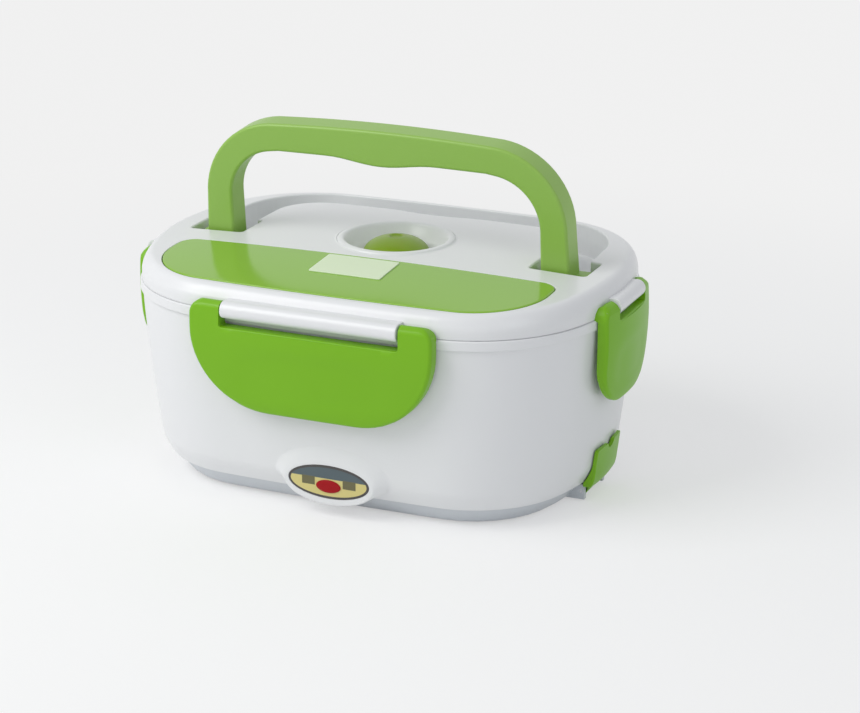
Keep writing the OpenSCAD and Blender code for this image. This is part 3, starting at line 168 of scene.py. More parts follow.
LID_L, LID_W = 234, 166
SIDE_BOW_R, END_BOW_R, CORNER_R = 1500, 125, 61
BODY_H, COLLAR_Z, COLLAR_OUT, COLLAR_STEP = 94.5, 89.9, 0.85, 0.3
FOOT_Z, FOOT_IN, KNEE_Z, KNEE_IN = 9.8, 11.5, 21, 6.7
WALL_BOW, FOOT_BOW = 1.35, 1.7
WALL = 2.4
LEDGE_Z, LEDGE_W = 84.0, 5
WELL_Z, WELL_T = 24, 2.5
OPENING = (120, 70, 7)
PANEL_X, PANEL_Z, PANEL_A, PANEL_B, PANEL_RIM = 4.6, 17.8, 20.3, 8, 3.4
PANEL_Y = -79.33
PANEL_T, PLATE_GAP = 1.4, 0.15
INLET_Z, INLET_W, INLET_H, INLET_DEEP = 16.1, 23, 9.8, 22
RAIL_Z, RAIL_H = 70, 3
BAR_A, END_BAR_A = 43.4, 16.5


def arc(c, r, a0, a1, n):
    return [(c[0] + r * cos(radians(a0 + (a1 - a0) * i / n)), c[1] + r * sin(radians(a0 + (a1 - a0) * i / n)))
            for i in range(n + 1)]


def meeting(c1, r1, c2, r2):
    """The outer one of the two points at r1 from c1 and r2 from c2."""
    dx, dy = c2[0] - c1[0], c2[1] - c1[1]
    d = hypot(dx, dy)
    along = (r1 * r1 - r2 * r2 + d * d) / (2 * d)
    off = sqrt(r1 * r1 - along * along)
    ex, ey = dx / d, dy / d
    return (c1[0] + along * ex + off * ey, c1[1] + along * ey - off * ex)


SIDE_C = (0, LID_W / 2 - SIDE_BOW_R)
END_C = (LID_L / 2 - END_BOW_R, 0)
CORNER_C = meeting(SIDE_C, SIDE_BOW_R - CORNER_R, END_C, END_BOW_R - CORNER_R)
END_ANG = degrees(atan2(CORNER_C[1] - END_C[1], CORNER_C[0] - END_C[0]))
SIDE_ANG = degrees(atan2(CORNER_C[1] - SIDE_C[1], CORNER_C[0] - SIDE_C[0]))
QUARTER = (8, 16, 12)


def outline(t):
    """The bowed outline of the box seen from above, drawn in by t."""
    q = (arc(END_C, END_BOW_R - t, 0, END_ANG, QUARTER[0])
         + arc(CORNER_C, CORNER_R - t, END_ANG, SIDE_ANG, QUARTER[1])[1:]
         + arc(SIDE_C, SIDE_BOW_R - t, SIDE_ANG, 90, QUARTER[2])[1:])
    half = q + [(-x, y) for x, y in reversed(q[:-1])]
    return half + [(x, -y) for x, y in reversed(half[1:-1])]


def rounded_box(l, w, r):
    """A rounded rectangle with as many points as the outline."""
    n0, n1, n2 = QUARTER
    q = ([(l / 2, (w / 2 - r) * i / n0) for i in range(n0)]
         + arc((l / 2 - r, w / 2 - r), r, 0, 90, n1)
         + [((l / 2 - r) * (1 - i / n2), w / 2) for i in range(1, n2 + 1)])
    half = q + [(-x, y) for x, y in reversed(q[:-1])]
    return half + [(x, -y) for x, y in reversed(half[1:-1])]


def at(points, z):
    return [(x, y, z) for x, y in points]


def skin(bm, rings, closed=False, ends=True):
    """Quads over rings of equally many points, closed into a tube or with flat ends."""
    rows = [[bm.verts.new(p) for p in ring] for ring in rings]
    n = len(rows[0])
    pairs = list(zip(rows, rows[1:] + rows[:1])) if closed else list(zip(rows, rows[1:]))
    for a, b in pairs:
        for i in range(n):
            j = (i + 1) % n
            bm.faces.new((a[i], a[j], b[j], b[i]))
    if ends and not closed:
        bm.faces.new(list(reversed(rows[0])))
        bm.faces.new(rows[-1])
    bmesh.ops.recalc_face_normals(bm, faces=bm.faces)
    return bm


def solid(rings, closed=False):
    return skin(bmesh.new(), rings, closed)


def joined(*parts):
    """One mesh of several, each left as its own closed skin."""
    whole = bmesh.new()
    for part in parts:
        scrap = bpy.data.meshes.new("scrap")
        part.to_mesh(scrap)
        part.free()
        whole.from_mesh(scrap)
        bpy.data.meshes.remove(scrap)
    return whole


def loose(name, bm):
    mesh = bpy.data.meshes.new(name)
    bm.to_mesh(mesh)
    bm.free()
    o = bpy.data.objects.new(name, mesh)
    bpy.context.scene.collection.objects.link(o)
    return o


def worked(bm, tools, how="DIFFERENCE"):
    """The mesh after each tool is cut from it, or joined to it."""
    block = loose("block", bm)
    others = [loose("tool", t) for t in tools]
    for o in others:
        step = block.modifiers.new("step", "BOOLEAN")
        step.operation = how
        step.solver = "EXACT"
        step.object = o
    seen = bpy.context.evaluated_depsgraph_get()
    mesh = bpy.data.meshes.new_from_object(block.evaluated_get(seen))
    out = bmesh.new()
    out.from_mesh(mesh)
    bpy.data.meshes.remove(mesh)
    for o in [block] + others:
        scrap = o.data
        bpy.data.objects.remove(o)
        bpy.data.meshes.remove(scrap)
    return out


def moulding(name, bm, finish, crease=32):
    """A finished piece in metres, smooth up to the crease angle."""
    bmesh.ops.scale(bm, vec=(0.001, 0.001, 0.001), verts=bm.verts)
    for f in bm.faces:
        f.smooth = True
    for e in bm.edges:
        e.smooth = len(e.link_faces) == 2 and e.calc_face_angle(0) < radians(crease)
    piece = loose(name, bm)
    piece.data.materials.append(finish)
    shading = piece.modifiers.new("even_shading", "WEIGHTED_NORMAL")
    shading.keep_sharp = True
    shading.weight = 60
    return piece


def plastic(name, colour, shade, rough, grain=0.15, coat=0.0, soft=0.0, shine=0.5):
    """Moulded plastic: faint flow clouds in its colour, a fine grain and an uneven gloss."""
    finish = bpy.data.materials.new(name)
    finish.use_nodes = True
    tree = finish.node_tree
    shader = tree.nodes["Principled BSDF"]
    where = added(tree, "ShaderNodeTexCoord")
    cloud = added(tree, "ShaderNodeTexNoise", {"Scale": 9, "Detail": 3})
    tone = added(tree, "ShaderNodeMix", {"A": (*colour, 1), "B": (*shade, 1)}, data_type="RGBA")
    gloss = added(tree, "ShaderNodeMapRange", {"To Min": rough * 0.94, "To Max": rough * 1.08})
    dust = added(tree, "ShaderNodeTexNoise", {"Scale": 900, "Detail": 2})
    relief = added(tree, "ShaderNodeBump", {"Strength": grain, "Distance": 0.00004})
    wire(where, "Object", cloud, "Vector")
    wire(where, "Object", dust, "Vector")
    wire(cloud, "Fac", tone, "Factor")
    wire(tone, "Result", shader, "Base Color")
    wire(cloud, "Fac", gloss, "Value")
    wire(gloss, "Result", shader, "Roughness")
    wire(dust, "Fac", relief, "Height")
    wire(relief, "Normal", shader, "Normal")
    shader.inputs["Coat Weight"].default_value = coat
    shader.inputs["Coat Roughness"].default_value = 0.12
    shader.inputs["Subsurface Weight"].default_value = soft
    shader.inputs["Subsurface Scale"].default_value = 0.004
    shader.inputs["Specular IOR Level"].default_value = shine
    return finish


WHITE_GLOSS = plastic("white_gloss", (0.81, 0.815, 0.825), (0.80, 0.806, 0.818), 0.3, 0.04, 0.15)


def shell_in(z):
    """Inset of the shell's outer face from the lid's outline."""
    if z >= KNEE_Z:
        return KNEE_IN * (max(0, COLLAR_Z - z) / (COLLAR_Z - KNEE_Z)) ** WALL_BOW
    return KNEE_IN + (FOOT_IN - KNEE_IN) * ((KNEE_Z - z) / (KNEE_Z - FOOT_Z)) ** FOOT_BOW


def between(a, b, n):
    return [a + (b - a) * i / n for i in range(n + 1)]


def facing_band(c, r, facing, half_angle, section, n):
    """A solid that follows a bow: section points are (distance outside the outline, height)."""
    rings = []
    for i in range(n + 1):
        a = radians(facing - half_angle + 2 * half_angle * i / n)
        rings.append([(c[0] + (r + o) * cos(a), c[1] + (r + o) * sin(a), z) for o, z in section])
    return solid(rings)


def shell_skin():
    """The shell's wall from its foot over the collar and down the inside to the floor of the heating well."""
    outside = [(FOOT_IN + 0.5, FOOT_Z), (shell_in(FOOT_Z + 0.5), FOOT_Z + 0.5)]
    heights = between(FOOT_Z + 1.6, KNEE_Z, 6) + between(KNEE_Z, COLLAR_Z - 0.6, 14)[1:]
    outside += [(shell_in(z) + COLLAR_STEP, z) for z in heights]
    o = COLLAR_OUT
    collar = [(COLLAR_STEP, COLLAR_Z - 0.05), (-0.6 * o, COLLAR_Z), (-0.9 * o, COLLAR_Z + 0.12),
              (-o, COLLAR_Z + 0.4), (-o, BODY_H - 0.6), (-0.85 * o, BODY_H - 0.3), (-0.5 * o, BODY_H - 0.08),
              (-0.2, BODY_H),
              (WALL - 0.5, BODY_H), (WALL - 0.13, BODY_H - 0.13), (WALL, BODY_H - 0.5)]
    narrow = LEDGE_Z - 2.2
    inside = [(WALL, LEDGE_Z), (WALL + LEDGE_W - 0.3, LEDGE_Z), (WALL + LEDGE_W, LEDGE_Z - 0.3),
              (WALL + LEDGE_W, narrow)]
    inside += [(shell_in(z) + WALL, z) for z in between(narrow - 4, WELL_Z, 12)]
    rings = [at(outline(t), z) for t, z in outside + collar + inside]
    rings += [at(rounded_box(*OPENING), WELL_Z), at(rounded_box(*OPENING), WELL_Z - WELL_T)]
    rings += [at(outline(shell_in(z) + WALL), z) for z in between(WELL_Z - WELL_T, FOOT_Z, 4)]
    return solid(rings, closed=True)


BOSS_ROOT, BOSS_SINK, BOSS_CORE = 9.1, 0.7, 1.9
SWEEP_FROM, SWEEP_REACH = 0.9, 7
SOFT_FROM, SOFT_SPAN = -0.8, 1.1
ROUND_SHARE, ROUND_IN, ROUND_DEEP = 0.14, 0.8, 0.6


def panel_oval(g, y, n=96):
    """Upright oval ring round the middle of the face plate, grown by g."""
    return [(PANEL_X + (PANEL_A + g) * cos(2 * pi * i / n), y, PANEL_Z + (PANEL_B + g) * sin(2 * pi * i / n))
            for i in range(n)]


def boss_ring(k, n=96):
    """Oval ring of the boss, from its front edge at k = 0 to its root at k = 1.

    Above and beside the plate the boss sweeps softly into the wall, below it the edge is short and round.
    """
    ring = []
    for i in range(n):
        a = 2 * pi * i / n
        s = min(1, max(0, (sin(a) - SOFT_FROM) / SOFT_SPAN))
        soft = s * s * (3 - 2 * s)
        far_z = PANEL_Z + (PANEL_B + PANEL_RIM + SWEEP_REACH * soft) * sin(a)
        root = BOSS_ROOT
        if far_z > FOOT_Z:
            root = min(BOSS_ROOT, shell_in(far_z) - LID_W / 2 - PANEL_Y + BOSS_SINK)
        turn = pi / 2 * min(1, k / ROUND_SHARE)
        sweep_g = SWEEP_FROM + (PANEL_RIM + SWEEP_REACH - SWEEP_FROM) * k
        edge_g = PANEL_RIM - ROUND_IN * (1 - sin(turn))
        g = soft * sweep_g + (1 - soft) * edge_g
        straight = ROUND_DEEP * (1 - cos(turn))
        straight += (root - ROUND_DEEP) * max(0, k - ROUND_SHARE) / (1 - ROUND_SHARE)
        d = soft * root * k * k * (3 - 2 * k) + (1 - soft) * straight
        ring.append((PANEL_X + (PANEL_A + g) * cos(a), PANEL_Y + d, PANEL_Z + (PANEL_B + g) * sin(a)))
    return ring


boss_rings = [boss_ring(0.04 * k) for k in range(5)] + [boss_ring(0.24 + 0.08 * k) for k in range(9)]
boss_rings += [boss_ring(0.94), boss_ring(1)]
closing = panel_oval(BOSS_CORE, PANEL_Y + BOSS_ROOT + 0.3)
panel_boss = solid(boss_rings + [closing])
catch_rail = [(-3, RAIL_Z), (COLLAR_OUT - 0.3, RAIL_Z), (COLLAR_OUT, RAIL_Z + 0.3),
              (COLLAR_OUT, RAIL_Z + RAIL_H / 2), (COLLAR_OUT - 0.4, RAIL_Z + RAIL_H / 2 + 0.9),
              (-2.6, RAIL_Z + 2 * RAIL_H)]
side_half = degrees(asin(BAR_A / SIDE_BOW_R))
end_half = degrees(asin((END_BAR_A - 2) / END_BOW_R))
rails = [facing_band((0, s * SIDE_C[1]), SIDE_BOW_R, 90 * s, side_half, catch_rail, 12) for s in (1, -1)]
rails += [facing_band((s * END_C[0], 0), END_BOW_R, 90 - 90 * s, end_half, catch_rail, 8) for s in (1, -1)]


def block(lo, hi):
    x0, y0, z0 = lo
    x1, y1, z1 = hi
    return solid([[(x0, y0, z0), (x1, y0, z0), (x1, y1, z0), (x0, y1, z0)],
                  [(x0, y0, z1), (x1, y0, z1), (x1, y1, z1), (x0, y1, z1)]])


plate_pocket = solid([panel_oval(PLATE_GAP, PANEL_Y + PANEL_T), panel_oval(PLATE_GAP, PANEL_Y - 8)])
inlet_back_x = LID_L / 2 - shell_in(INLET_Z) - INLET_DEEP
inlet_mouth = block((inlet_back_x, -INLET_W / 2, INLET_Z - INLET_H / 2),
                    (LID_L, INLET_W / 2, INLET_Z + INLET_H / 2))
whole_shell = worked(shell_skin(), [panel_boss] + rails, "UNION")
shell = moulding("body_shell", worked(whole_shell, [plate_pocket, inlet_mouth]), WHITE_GLOSS)
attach(shell, "base")
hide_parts("outer_shell")

# ---- lid ----
# The white lid is one moulding with a deep groove for the folded handle, a slot for each leg, a bay for
# the spoon, a raised ring round the steam vent, and four hinge bars on its sides for the latches.

LID_Z, RIM_Z = 94.8, 108.3
FRONT_DROP, FRONT_BOW, LEVEL_Y = 3.3, 1.2, 8
DOME_H, DOME_A, DOME_B = 2, 100, 0.94 * LID_W / 2
EDGE_R, SIDE_Z = 6, 98.5
LINER_TOP, PLUG_GAP = 90.6, 1
PIVOT_Y, PIVOT_Z = 3.5, 97.0
HANDLE_A, HANDLE_FLARE, HANDLE_H, HANDLE_R = 92.4, 1.8, 70.4, 39
GRIP_T, LEG_W, GRIP_CROWN = 14.7, 13.4, 1.5
SWELL_H, SWELL_A = 2.8, 28
GROOVE_Z, BAY_Z = 92.65, 92.2
GROOVE_OUT, GROOVE_INSIDE = 2.5, -2
COVER_A, COVER_BACK_Y, COVER_IN, COVER_CORNER_R = 95.5, -25.5, 8, 34
COVER_T, COVER_GAP, COVER_LEDGE = 2, 0.4, 3
VENT_Y, VENT_R, VENT_LIP, STEAM_R, PLUG_R = 7.4, 28, 2.8, 6.5, 16
VENT_DEEP, LIP_IN, LIP_DROP = 6.6, 3.6, 1.2
INNER_A = HANDLE_A - LEG_W
SLOT_X0, SLOT_X1 = INNER_A - 5, HANDLE_A + HANDLE_FLARE + 7.6
SLOT_FRONT, SLOT_BACK = PIVOT_Y - 13, PIVOT_Y + 9.2


def lid_top(x, y):
    """Height of the lid's upper face: level at the back, falling towards the front, with a slight dome."""
    rim = RIM_Z - FRONT_DROP * (max(0, -y - LEVEL_Y) / (LID_W / 2 - LEVEL_Y)) ** FRONT_BOW
    return rim + DOME_H * max(0, 1 - (x / DOME_A) ** 2) * max(0, 1 - (y / DOME_B) ** 2)


def domed(bm):
    """Bends a lid made with a flat top to its fall towards the front and its slight dome."""
    low, high = LID_Z + 0.6, 0.4 * SIDE_Z + 0.6 * RIM_Z
    for v in bm.verts:
        share = min(1, max(0, (v.co.z - low) / (high - low)))
        v.co.z += share * (lid_top(v.co.x, v.co.y) - RIM_Z)
    return bm


def scored(bm, xs, ys=(), zs=()):
    """Cuts every face along lines across it, so that a flat face can bend."""
    for axis, places in enumerate((xs, ys, zs)):
        for p in places:
            spot, way = [0, 0, 0], [0, 0, 0]
            spot[axis], way[axis] = p, 1
            bmesh.ops.bisect_plane(bm, geom=bm.verts[:] + bm.edges[:] + bm.faces[:], dist=1e-4,
                                   plane_co=spot, plane_no=way)
    return bm


def both_sides(right):
    return right + [(-x, y) for x, y in reversed(right[:-1])]


def swell(x):
    """Drop of the palm swell under the grip."""
    return SWELL_H * cos(pi / 2 * x / SWELL_A) ** 2 if abs(x) < SWELL_A else 0


LEG_N, BEND_N, TOP_N = 4, 16, 14
CROWN_RUN = HANDLE_A - HANDLE_R
INNER_R = HANDLE_R - LEG_W - 1
INNER_H, INNER_CROWN = HANDLE_H - GRIP_T, 0.8


def grip_outside(g, foot):
    """Right half of the handle's outer line, from the foot to the middle of the grip."""
    y0 = HANDLE_H - GRIP_CROWN - HANDLE_R
    leg = [(HANDLE_A + HANDLE_FLARE * (1 - k / LEG_N) + g, foot + (y0 - foot) * k / LEG_N)
           for k in range(LEG_N)]
    turn = arc((CROWN_RUN, y0), HANDLE_R + g, 0, 84, BEND_N)
    top = []
    for k in range(1, TOP_N + 1):
        x = turn[-1][0] * (1 - k / TOP_N)
        top.append((x, HANDLE_H + g - GRIP_CROWN * (x / CROWN_RUN) ** 2))
    return leg + turn + top


def grip_inside(g, foot):
    """Right half of the handle's inner line, with the palm swell under the grip."""
    y0 = INNER_H - INNER_R - INNER_CROWN
    leg = [(INNER_A + g, foot + (y0 - foot) * k / LEG_N) for k in range(LEG_N)]
    turn = arc((INNER_A - INNER_R, y0), INNER_R + g, 0, 84, BEND_N)
    under = []
    for k in range(1, TOP_N + 1):
        x = turn[-1][0] * (1 - k / TOP_N)
        under.append((x, INNER_H + g - INNER_CROWN * (x / INNER_A) ** 2 - swell(x)))
    return leg + turn + under


def fillets(poly, r, steps=4, turn=20):
    """Rounds the sharp corners of a closed line."""
    out = []
    n = len(poly)
    for i, (x, y) in enumerate(poly):
        (ax, ay), (bx, by) = poly[i - 1], poly[(i + 1) % n]
        ux, uy, vx, vy = ax - x, ay - y, bx - x, by - y
        lu, lv = hypot(ux, uy), hypot(vx, vy)
        bend = 180 - degrees(acos(max(-1, min(1, (ux * vx + uy * vy) / (lu * lv)))))
        if bend < turn:
            out.append((x, y))
            continue
        d = min(r, 0.45 * lu, 0.45 * lv)
        p, q = (x + ux / lu * d, y + uy / lu * d), (x + vx / lv * d, y + vy / lv * d)
        for k in range(steps + 1):
            s = k / steps
            a, b, c = (1 - s) ** 2, 2 * s * (1 - s), s * s
            out.append((a * p[0] + b * x + c * q[0], a * p[1] + b * y + c * q[1]))
    return out


def grown(poly, g):
    """A closed line moved outwards by g."""
    n = len(poly)
    area = sum(poly[i - 1][0] * poly[i][1] - poly[i][0] * poly[i - 1][1] for i in range(n))
    side = 1 if area > 0 else -1
    out = []
    for i, (x, y) in enumerate(poly):
        (ax, ay), (bx, by) = poly[i - 1], poly[(i + 1) % n]
        n1, n2 = (y - ay, ax - x), (by - y, x - bx)
        l1, l2 = hypot(*n1) or 1, hypot(*n2) or 1
        n1, n2 = (n1[0] / l1, n1[1] / l1), (n2[0] / l2, n2[1] / l2)
        k = max(0.35, 1 + n1[0] * n2[0] + n1[1] * n2[1])
        out.append((x + side * g * (n1[0] + n2[0]) / k, y + side * g * (n1[1] + n2[1]) / k))
    return out


def recess(poly, floor_z, top_z, mouth, root=0.6):
    """A cutter with rounded edges at its mouth and round its floor."""
    levels = []
    for a in (0, 30, 60, 90):
        levels.append((-root * (1 - sin(radians(a))), floor_z + root * (1 - cos(radians(a)))))
    for a in (0, 22, 44, 62, 76):
        levels.append((mouth * (1 - cos(radians(a))), top_z - mouth * (1 - sin(radians(a)))))
    g, z = levels[-1]
    levels += [(g + 0.25, z + 0.07), (g + 0.25, z + 8)]
    return solid([at(grown(poly, g), z) for g, z in levels])


def front_y(x, t):
    """Place of the outline's front side at x, drawn in by t."""
    return -(SIDE_C[1] + sqrt((SIDE_BOW_R - t) ** 2 - x * x))


def cover_line(g):
    """Outline of the spoon cover, grown by g."""
    t, a, r, b, back = COVER_IN - g, COVER_A + g, COVER_CORNER_R + g, 8 + g, COVER_BACK_Y + g
    x = a - r
    y = front_y(x, t) + r
    right = ([(u * x / 8, front_y(u * x / 8, t)) for u in range(1, 8)] + arc((x, y), r, -90, 0, 18)
             + arc((a - b, back - b), b, 0, 90, 8))
    return [(0, front_y(0, t))] + right + [(-px, py) for px, py in reversed(right)]


def groove_line():
    """The groove for the folded handle with the slots for its legs, as one closed line."""
    outer = [(x, PIVOT_Y + y) for x, y in both_sides(grip_outside(GROOVE_OUT, -2))]
    inner = [(x, PIVOT_Y + y) for x, y in both_sides(grip_inside(GROOVE_INSIDE, -4))]
    outer = [p for p in outer if p[1] > SLOT_BACK + 0.3]
    inner = [p for p in inner if p[1] > SLOT_BACK + 0.3]
    edge_out, edge_in = outer[0][0], inner[0][0]
    line = [(SLOT_X0, SLOT_FRONT), (SLOT_X1, SLOT_FRONT), (SLOT_X1, SLOT_BACK), (edge_out, SLOT_BACK)] + outer
    line += [(-edge_out, SLOT_BACK), (-SLOT_X1, SLOT_BACK), (-SLOT_X1, SLOT_FRONT), (-SLOT_X0, SLOT_FRONT)]
    line += [(-SLOT_X0, SLOT_BACK), (-edge_in, SLOT_BACK)] + list(reversed(inner))
    return line + [(edge_in, SLOT_BACK), (SLOT_X0, SLOT_BACK)]


def lid_block():
    """The lid's body with a flat top, from its plug up to the rounded edge."""
    inner = WALL + PLUG_GAP
    foot = [(inner + 0.4, LINER_TOP), (inner, LINER_TOP + 0.4), (inner, LID_Z - 0.2), (0.5, LID_Z - 0.2),
            (0.25, LID_Z - 0.15), (0.08, LID_Z), (0, LID_Z + 0.25)]
    rings = [at(outline(t), z) for t, z in foot]
    for k in range(19):
        a = radians(5 * k)
        rings.append(at(outline(EDGE_R * (1 - cos(a))), SIDE_Z + (RIM_Z - SIDE_Z) * sin(a)))
    return solid(rings)


def circle(r, n):
    return [(r * cos(2 * pi * i / n), r * sin(2 * pi * i / n)) for i in range(n)]


VENT_FOOT_R = VENT_R + 1.5
SEAT_Z = RIM_Z - COVER_T - 0.1
vent_hole = [(x, VENT_Y + y) for x, y in circle(VENT_FOOT_R, 96)]
cutters = [recess(fillets(groove_line(), 1.9), GROOVE_Z, RIM_Z, 1.0),
           recess(cover_line(COVER_GAP), SEAT_Z, RIM_Z, 0.45, 0.3),
           recess(cover_line(-COVER_LEDGE), BAY_Z, SEAT_Z, 0.4, 1.5),
           solid([at(vent_hole, RIM_Z - 9), at(vent_hole, RIM_Z + 9)])]
lid_bm = worked(lid_block(), cutters)
lid_bm = scored(lid_bm, [5 * k for k in range(-23, 24)], [5 * k for k in range(-16, 17)])
domed(lid_bm)


def turned(profile, y=0, n=96, cap=True):
    """A lathe form about a vertical line; a height may be given as a function of place."""
    rings = []
    for r, z in profile:
        places = [(px, y + py) for px, py in circle(r, n)]
        rings.append([(px, py, z(px, py) if callable(z) else z) for px, py in places])
    return skin(bmesh.new(), rings, ends=cap)


def above_lid(rise):
    """A height counted from the lid's upper face."""
    return lambda x, y: lid_top(x, y) + rise


LIP_Z = RIM_Z + VENT_LIP
VENT_FLOOR_Z = RIM_Z - VENT_DEEP
lip = [(VENT_FOOT_R, above_lid(-3)), (VENT_FOOT_R, above_lid(0)), (VENT_FOOT_R - 0.5, above_lid(0.1)),
       (VENT_FOOT_R - 0.9, above_lid(0.35))]
lip += [(VENT_R + 0.25, LIP_Z - 1.0), (VENT_R + 0.05, LIP_Z - 0.62), (VENT_R - 0.4, LIP_Z - 0.24),
        (VENT_R - 1.1, LIP_Z - 0.05), (VENT_R - 1.8, LIP_Z), (VENT_R - 2.5, LIP_Z - 0.1),
        (VENT_R - 3.1, LIP_Z - 0.5), (VENT_R - LIP_IN, LIP_Z - LIP_DROP)]
lip += [(VENT_R - LIP_IN - 5.2 * s, LIP_Z - LIP_DROP - 6.4 * sin(pi / 2 * s) ** 1.1)
        for s in (0.12, 0.25, 0.4, 0.55, 0.7, 0.85)]
lip += [(PLUG_R + 2.6, VENT_FLOOR_Z + 0.12), (PLUG_R + 1.6, VENT_FLOOR_Z), (STEAM_R + 0.4, VENT_FLOOR_Z),
        (STEAM_R, VENT_FLOOR_Z - 0.4), (STEAM_R, LINER_TOP)]
vent_ring = turned(lip, VENT_Y, cap=False)

LATCH_Z, BAR_R, BAR_ROOT = 97.0, 4.0, 2.8
LATCH_OUT, END_LATCH_OUT, END_BAR_RISE = 3.9, 1.2, 0.9
LONG_SIDE = (LID_W / 2, BAR_A, LATCH_OUT, 0)
SHORT_SIDE = (LID_L / 2, END_BAR_A, END_LATCH_OUT, END_BAR_RISE)
SIDES = [(0, *LONG_SIDE), (180, *LONG_SIDE), (90, *SHORT_SIDE), (270, *SHORT_SIDE)]


def on_its_side(bm, turn):
    """Turns a form drawn on the front to its side of the box."""
    bmesh.ops.rotate(bm, cent=(0, 0, 0), matrix=Matrix.Rotation(radians(turn), 3, "Z"), verts=bm.verts)
    return bm


def hinge_bar(turn, edge, half, out, rise):
    """A round bar with the web that joins it to the lid's side, its ends slightly rounded."""
    under, clear, top = LID_Z + 0.25, COLLAR_OUT + 0.35, LATCH_Z + rise + BAR_R
    web_ang = degrees(acos((out - clear) / BAR_R))
    section = [(-edge + BAR_ROOT, under), (-edge - clear, under)]
    section += arc((-edge - out, LATCH_Z + rise), BAR_R, 360 - web_ang, 90, 24)
    section += [(-edge - 0.4 * min(1, out / 2), top - 0.05), (-edge + BAR_ROOT, top - 0.3)]
    cy = sum(p[0] for p in section) / len(section)
    cz = sum(p[1] for p in section) / len(section)
    rings = []
    for s, x in ((0.86, -half), (0.96, -half + 0.15), (1, -half + 0.6)):
        rings.append([(x, cy + s * (y - cy), cz + s * (z - cz)) for y, z in section])
    rings += [[(-x, y, z) for x, y, z in r] for r in reversed(rings)]
    return on_its_side(solid(rings), turn)


lid = moulding("lid_moulding", joined(lid_bm, vent_ring, *[hinge_bar(*s) for s in SIDES]), WHITE_GLOSS)
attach(lid, "lid")
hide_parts("lid_shell")

# ---- spoon cover and its label plate ----
# The green cover snaps into a seat in the lid, flush with its surface, over the spoon bay. A pale oblong
# plate sits on it and is left bare.

COVER_PROUD, COVER_EDGE = 0.3, 0.7
LABEL_L, LABEL_W, LABEL_IN = 36, 22.5, 3
LABEL_SEAT, LABEL_TOP, LABEL_EDGE = 0.36, 0.86, 0.2
GREEN_GRIP = plastic("green_grip", (0.285, 0.50, 0.085), (0.262, 0.472, 0.072), 0.36, 0.09, 0.03)
GREEN_COVER = plastic("green_cover", (0.275, 0.52, 0.055), (0.255, 0.49, 0.048), 0.14, 0.03, 0, 0, 0.36)
LABEL_PALE = plastic("label_pale", (0.77, 0.88, 0.64), (0.74, 0.85, 0.61), 0.5, 0.05)


def draped_plate(line, low, high, edge, step):
    """A thin plate with a rounded upper edge, laid on the lid's domed top."""
    levels = [(0, low), (0, high - edge)] + [
        (-edge * (1 - cos(radians(a))), high - edge * (1 - sin(radians(a)))) for a in (22, 45, 68, 90)]
    bm = solid([at(grown(line, g), z) for g, z in levels])
    scored(bm, [step * k for k in range(-24, 25)], [step * k for k in range(-20, 20)])
    for v in bm.verts:
        v.co.z += lid_top(v.co.x, v.co.y)
    return bm


cover_bm = draped_plate(cover_line(0), -COVER_T, COVER_PROUD, COVER_EDGE, 5)
cover = moulding("spoon_cover_green", cover_bm, GREEN_COVER)
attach(cover, "cover")
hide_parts("spoon_cover")

label_mid = COVER_BACK_Y - LABEL_IN - LABEL_W / 2
label_line = [(x, y + label_mid) for x, y in rounded_box(LABEL_L, LABEL_W, 1.0)]
label_bm = draped_plate(label_line, LABEL_SEAT, LABEL_TOP, LABEL_EDGE, 4)
label = moulding("label_plate_bare", label_bm, LABEL_PALE)
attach(label, "cover")
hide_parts("label_plate")

# ---- carry handle ----
# One green moulding in satin plastic: a grip with a palm swell and two legs, which turn on steel pins in
# the lid's slots and fold back into the groove.

HANDLE_D, MID_OFF, LEAN, FOOT_DROP = 13.9, -3.4, 4.7, 3.4
HUB_R, HUB_TOP, HUB_TOP_R = 4.5, 8.6, 2.4
HUB_X = (SLOT_X0 + 2, SLOT_X1 - 2)
GRIP_EDGE = 1.5


def stood_up(p):
    """From the handle's own flat drawing (across, depth, up) to its place on the lid."""
    x, d, w = p
    a = radians(LEAN)
    return (x, PIVOT_Y + d * cos(a) - w * sin(a), PIVOT_Z + d * sin(a) + w * cos(a))


def grip_section(o, i, front, back, r):
    """Rounded oblong between an outer point o and an inner point i of the handle's drawing."""
    l = hypot(o[0] - i[0], o[1] - i[1])
    ux, uy = (o[0] - i[0]) / l, (o[1] - i[1]) / l
    ring = []
    for cs, cd, a0 in ((l - r, back - r, 0), (r, back - r, 90), (r, front + r, 180), (l - r, front + r, 270)):
        for k in range(5):
            a = radians(a0 + 22.5 * k)
            s, d = cs + r * cos(a), cd + r * sin(a)
            ring.append(stood_up((i[0] + ux * s, d, i[1] + uy * s)))
    return ring


front, back = MID_OFF - HANDLE_D / 2, MID_OFF + HANDLE_D / 2
outside, inside = both_sides(grip_outside(0, -FOOT_DROP)), both_sides(grip_inside(0, -FOOT_DROP))
sections = [grip_section(o, i, front, back, GRIP_EDGE) for o, i in zip(outside, inside)]
hub_line = arc((0, 0), HUB_R, 180, 360, 20) + [(HUB_R, HUB_TOP), (-HUB_R, HUB_TOP)]
hub_line = fillets(hub_line, HUB_TOP_R, 6, 60)
hubs = []
for s in (-1, 1):
    ends = ((HUB_X[0], -0.5), (HUB_X[0] + 0.15, -0.15), (HUB_X[0] + 0.5, 0),
            (HUB_X[1] - 0.9, 0), (HUB_X[1] - 0.3, -0.3), (HUB_X[1], -0.9))
    hubs.append(solid([[stood_up((s * x, d, w)) for d, w in grown(hub_line, g)] for x, g in ends]))
handle = moulding("carry_handle_green", joined(solid(sections), *hubs), GREEN_GRIP, 40)
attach(handle, "carry_handle")
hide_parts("handle")

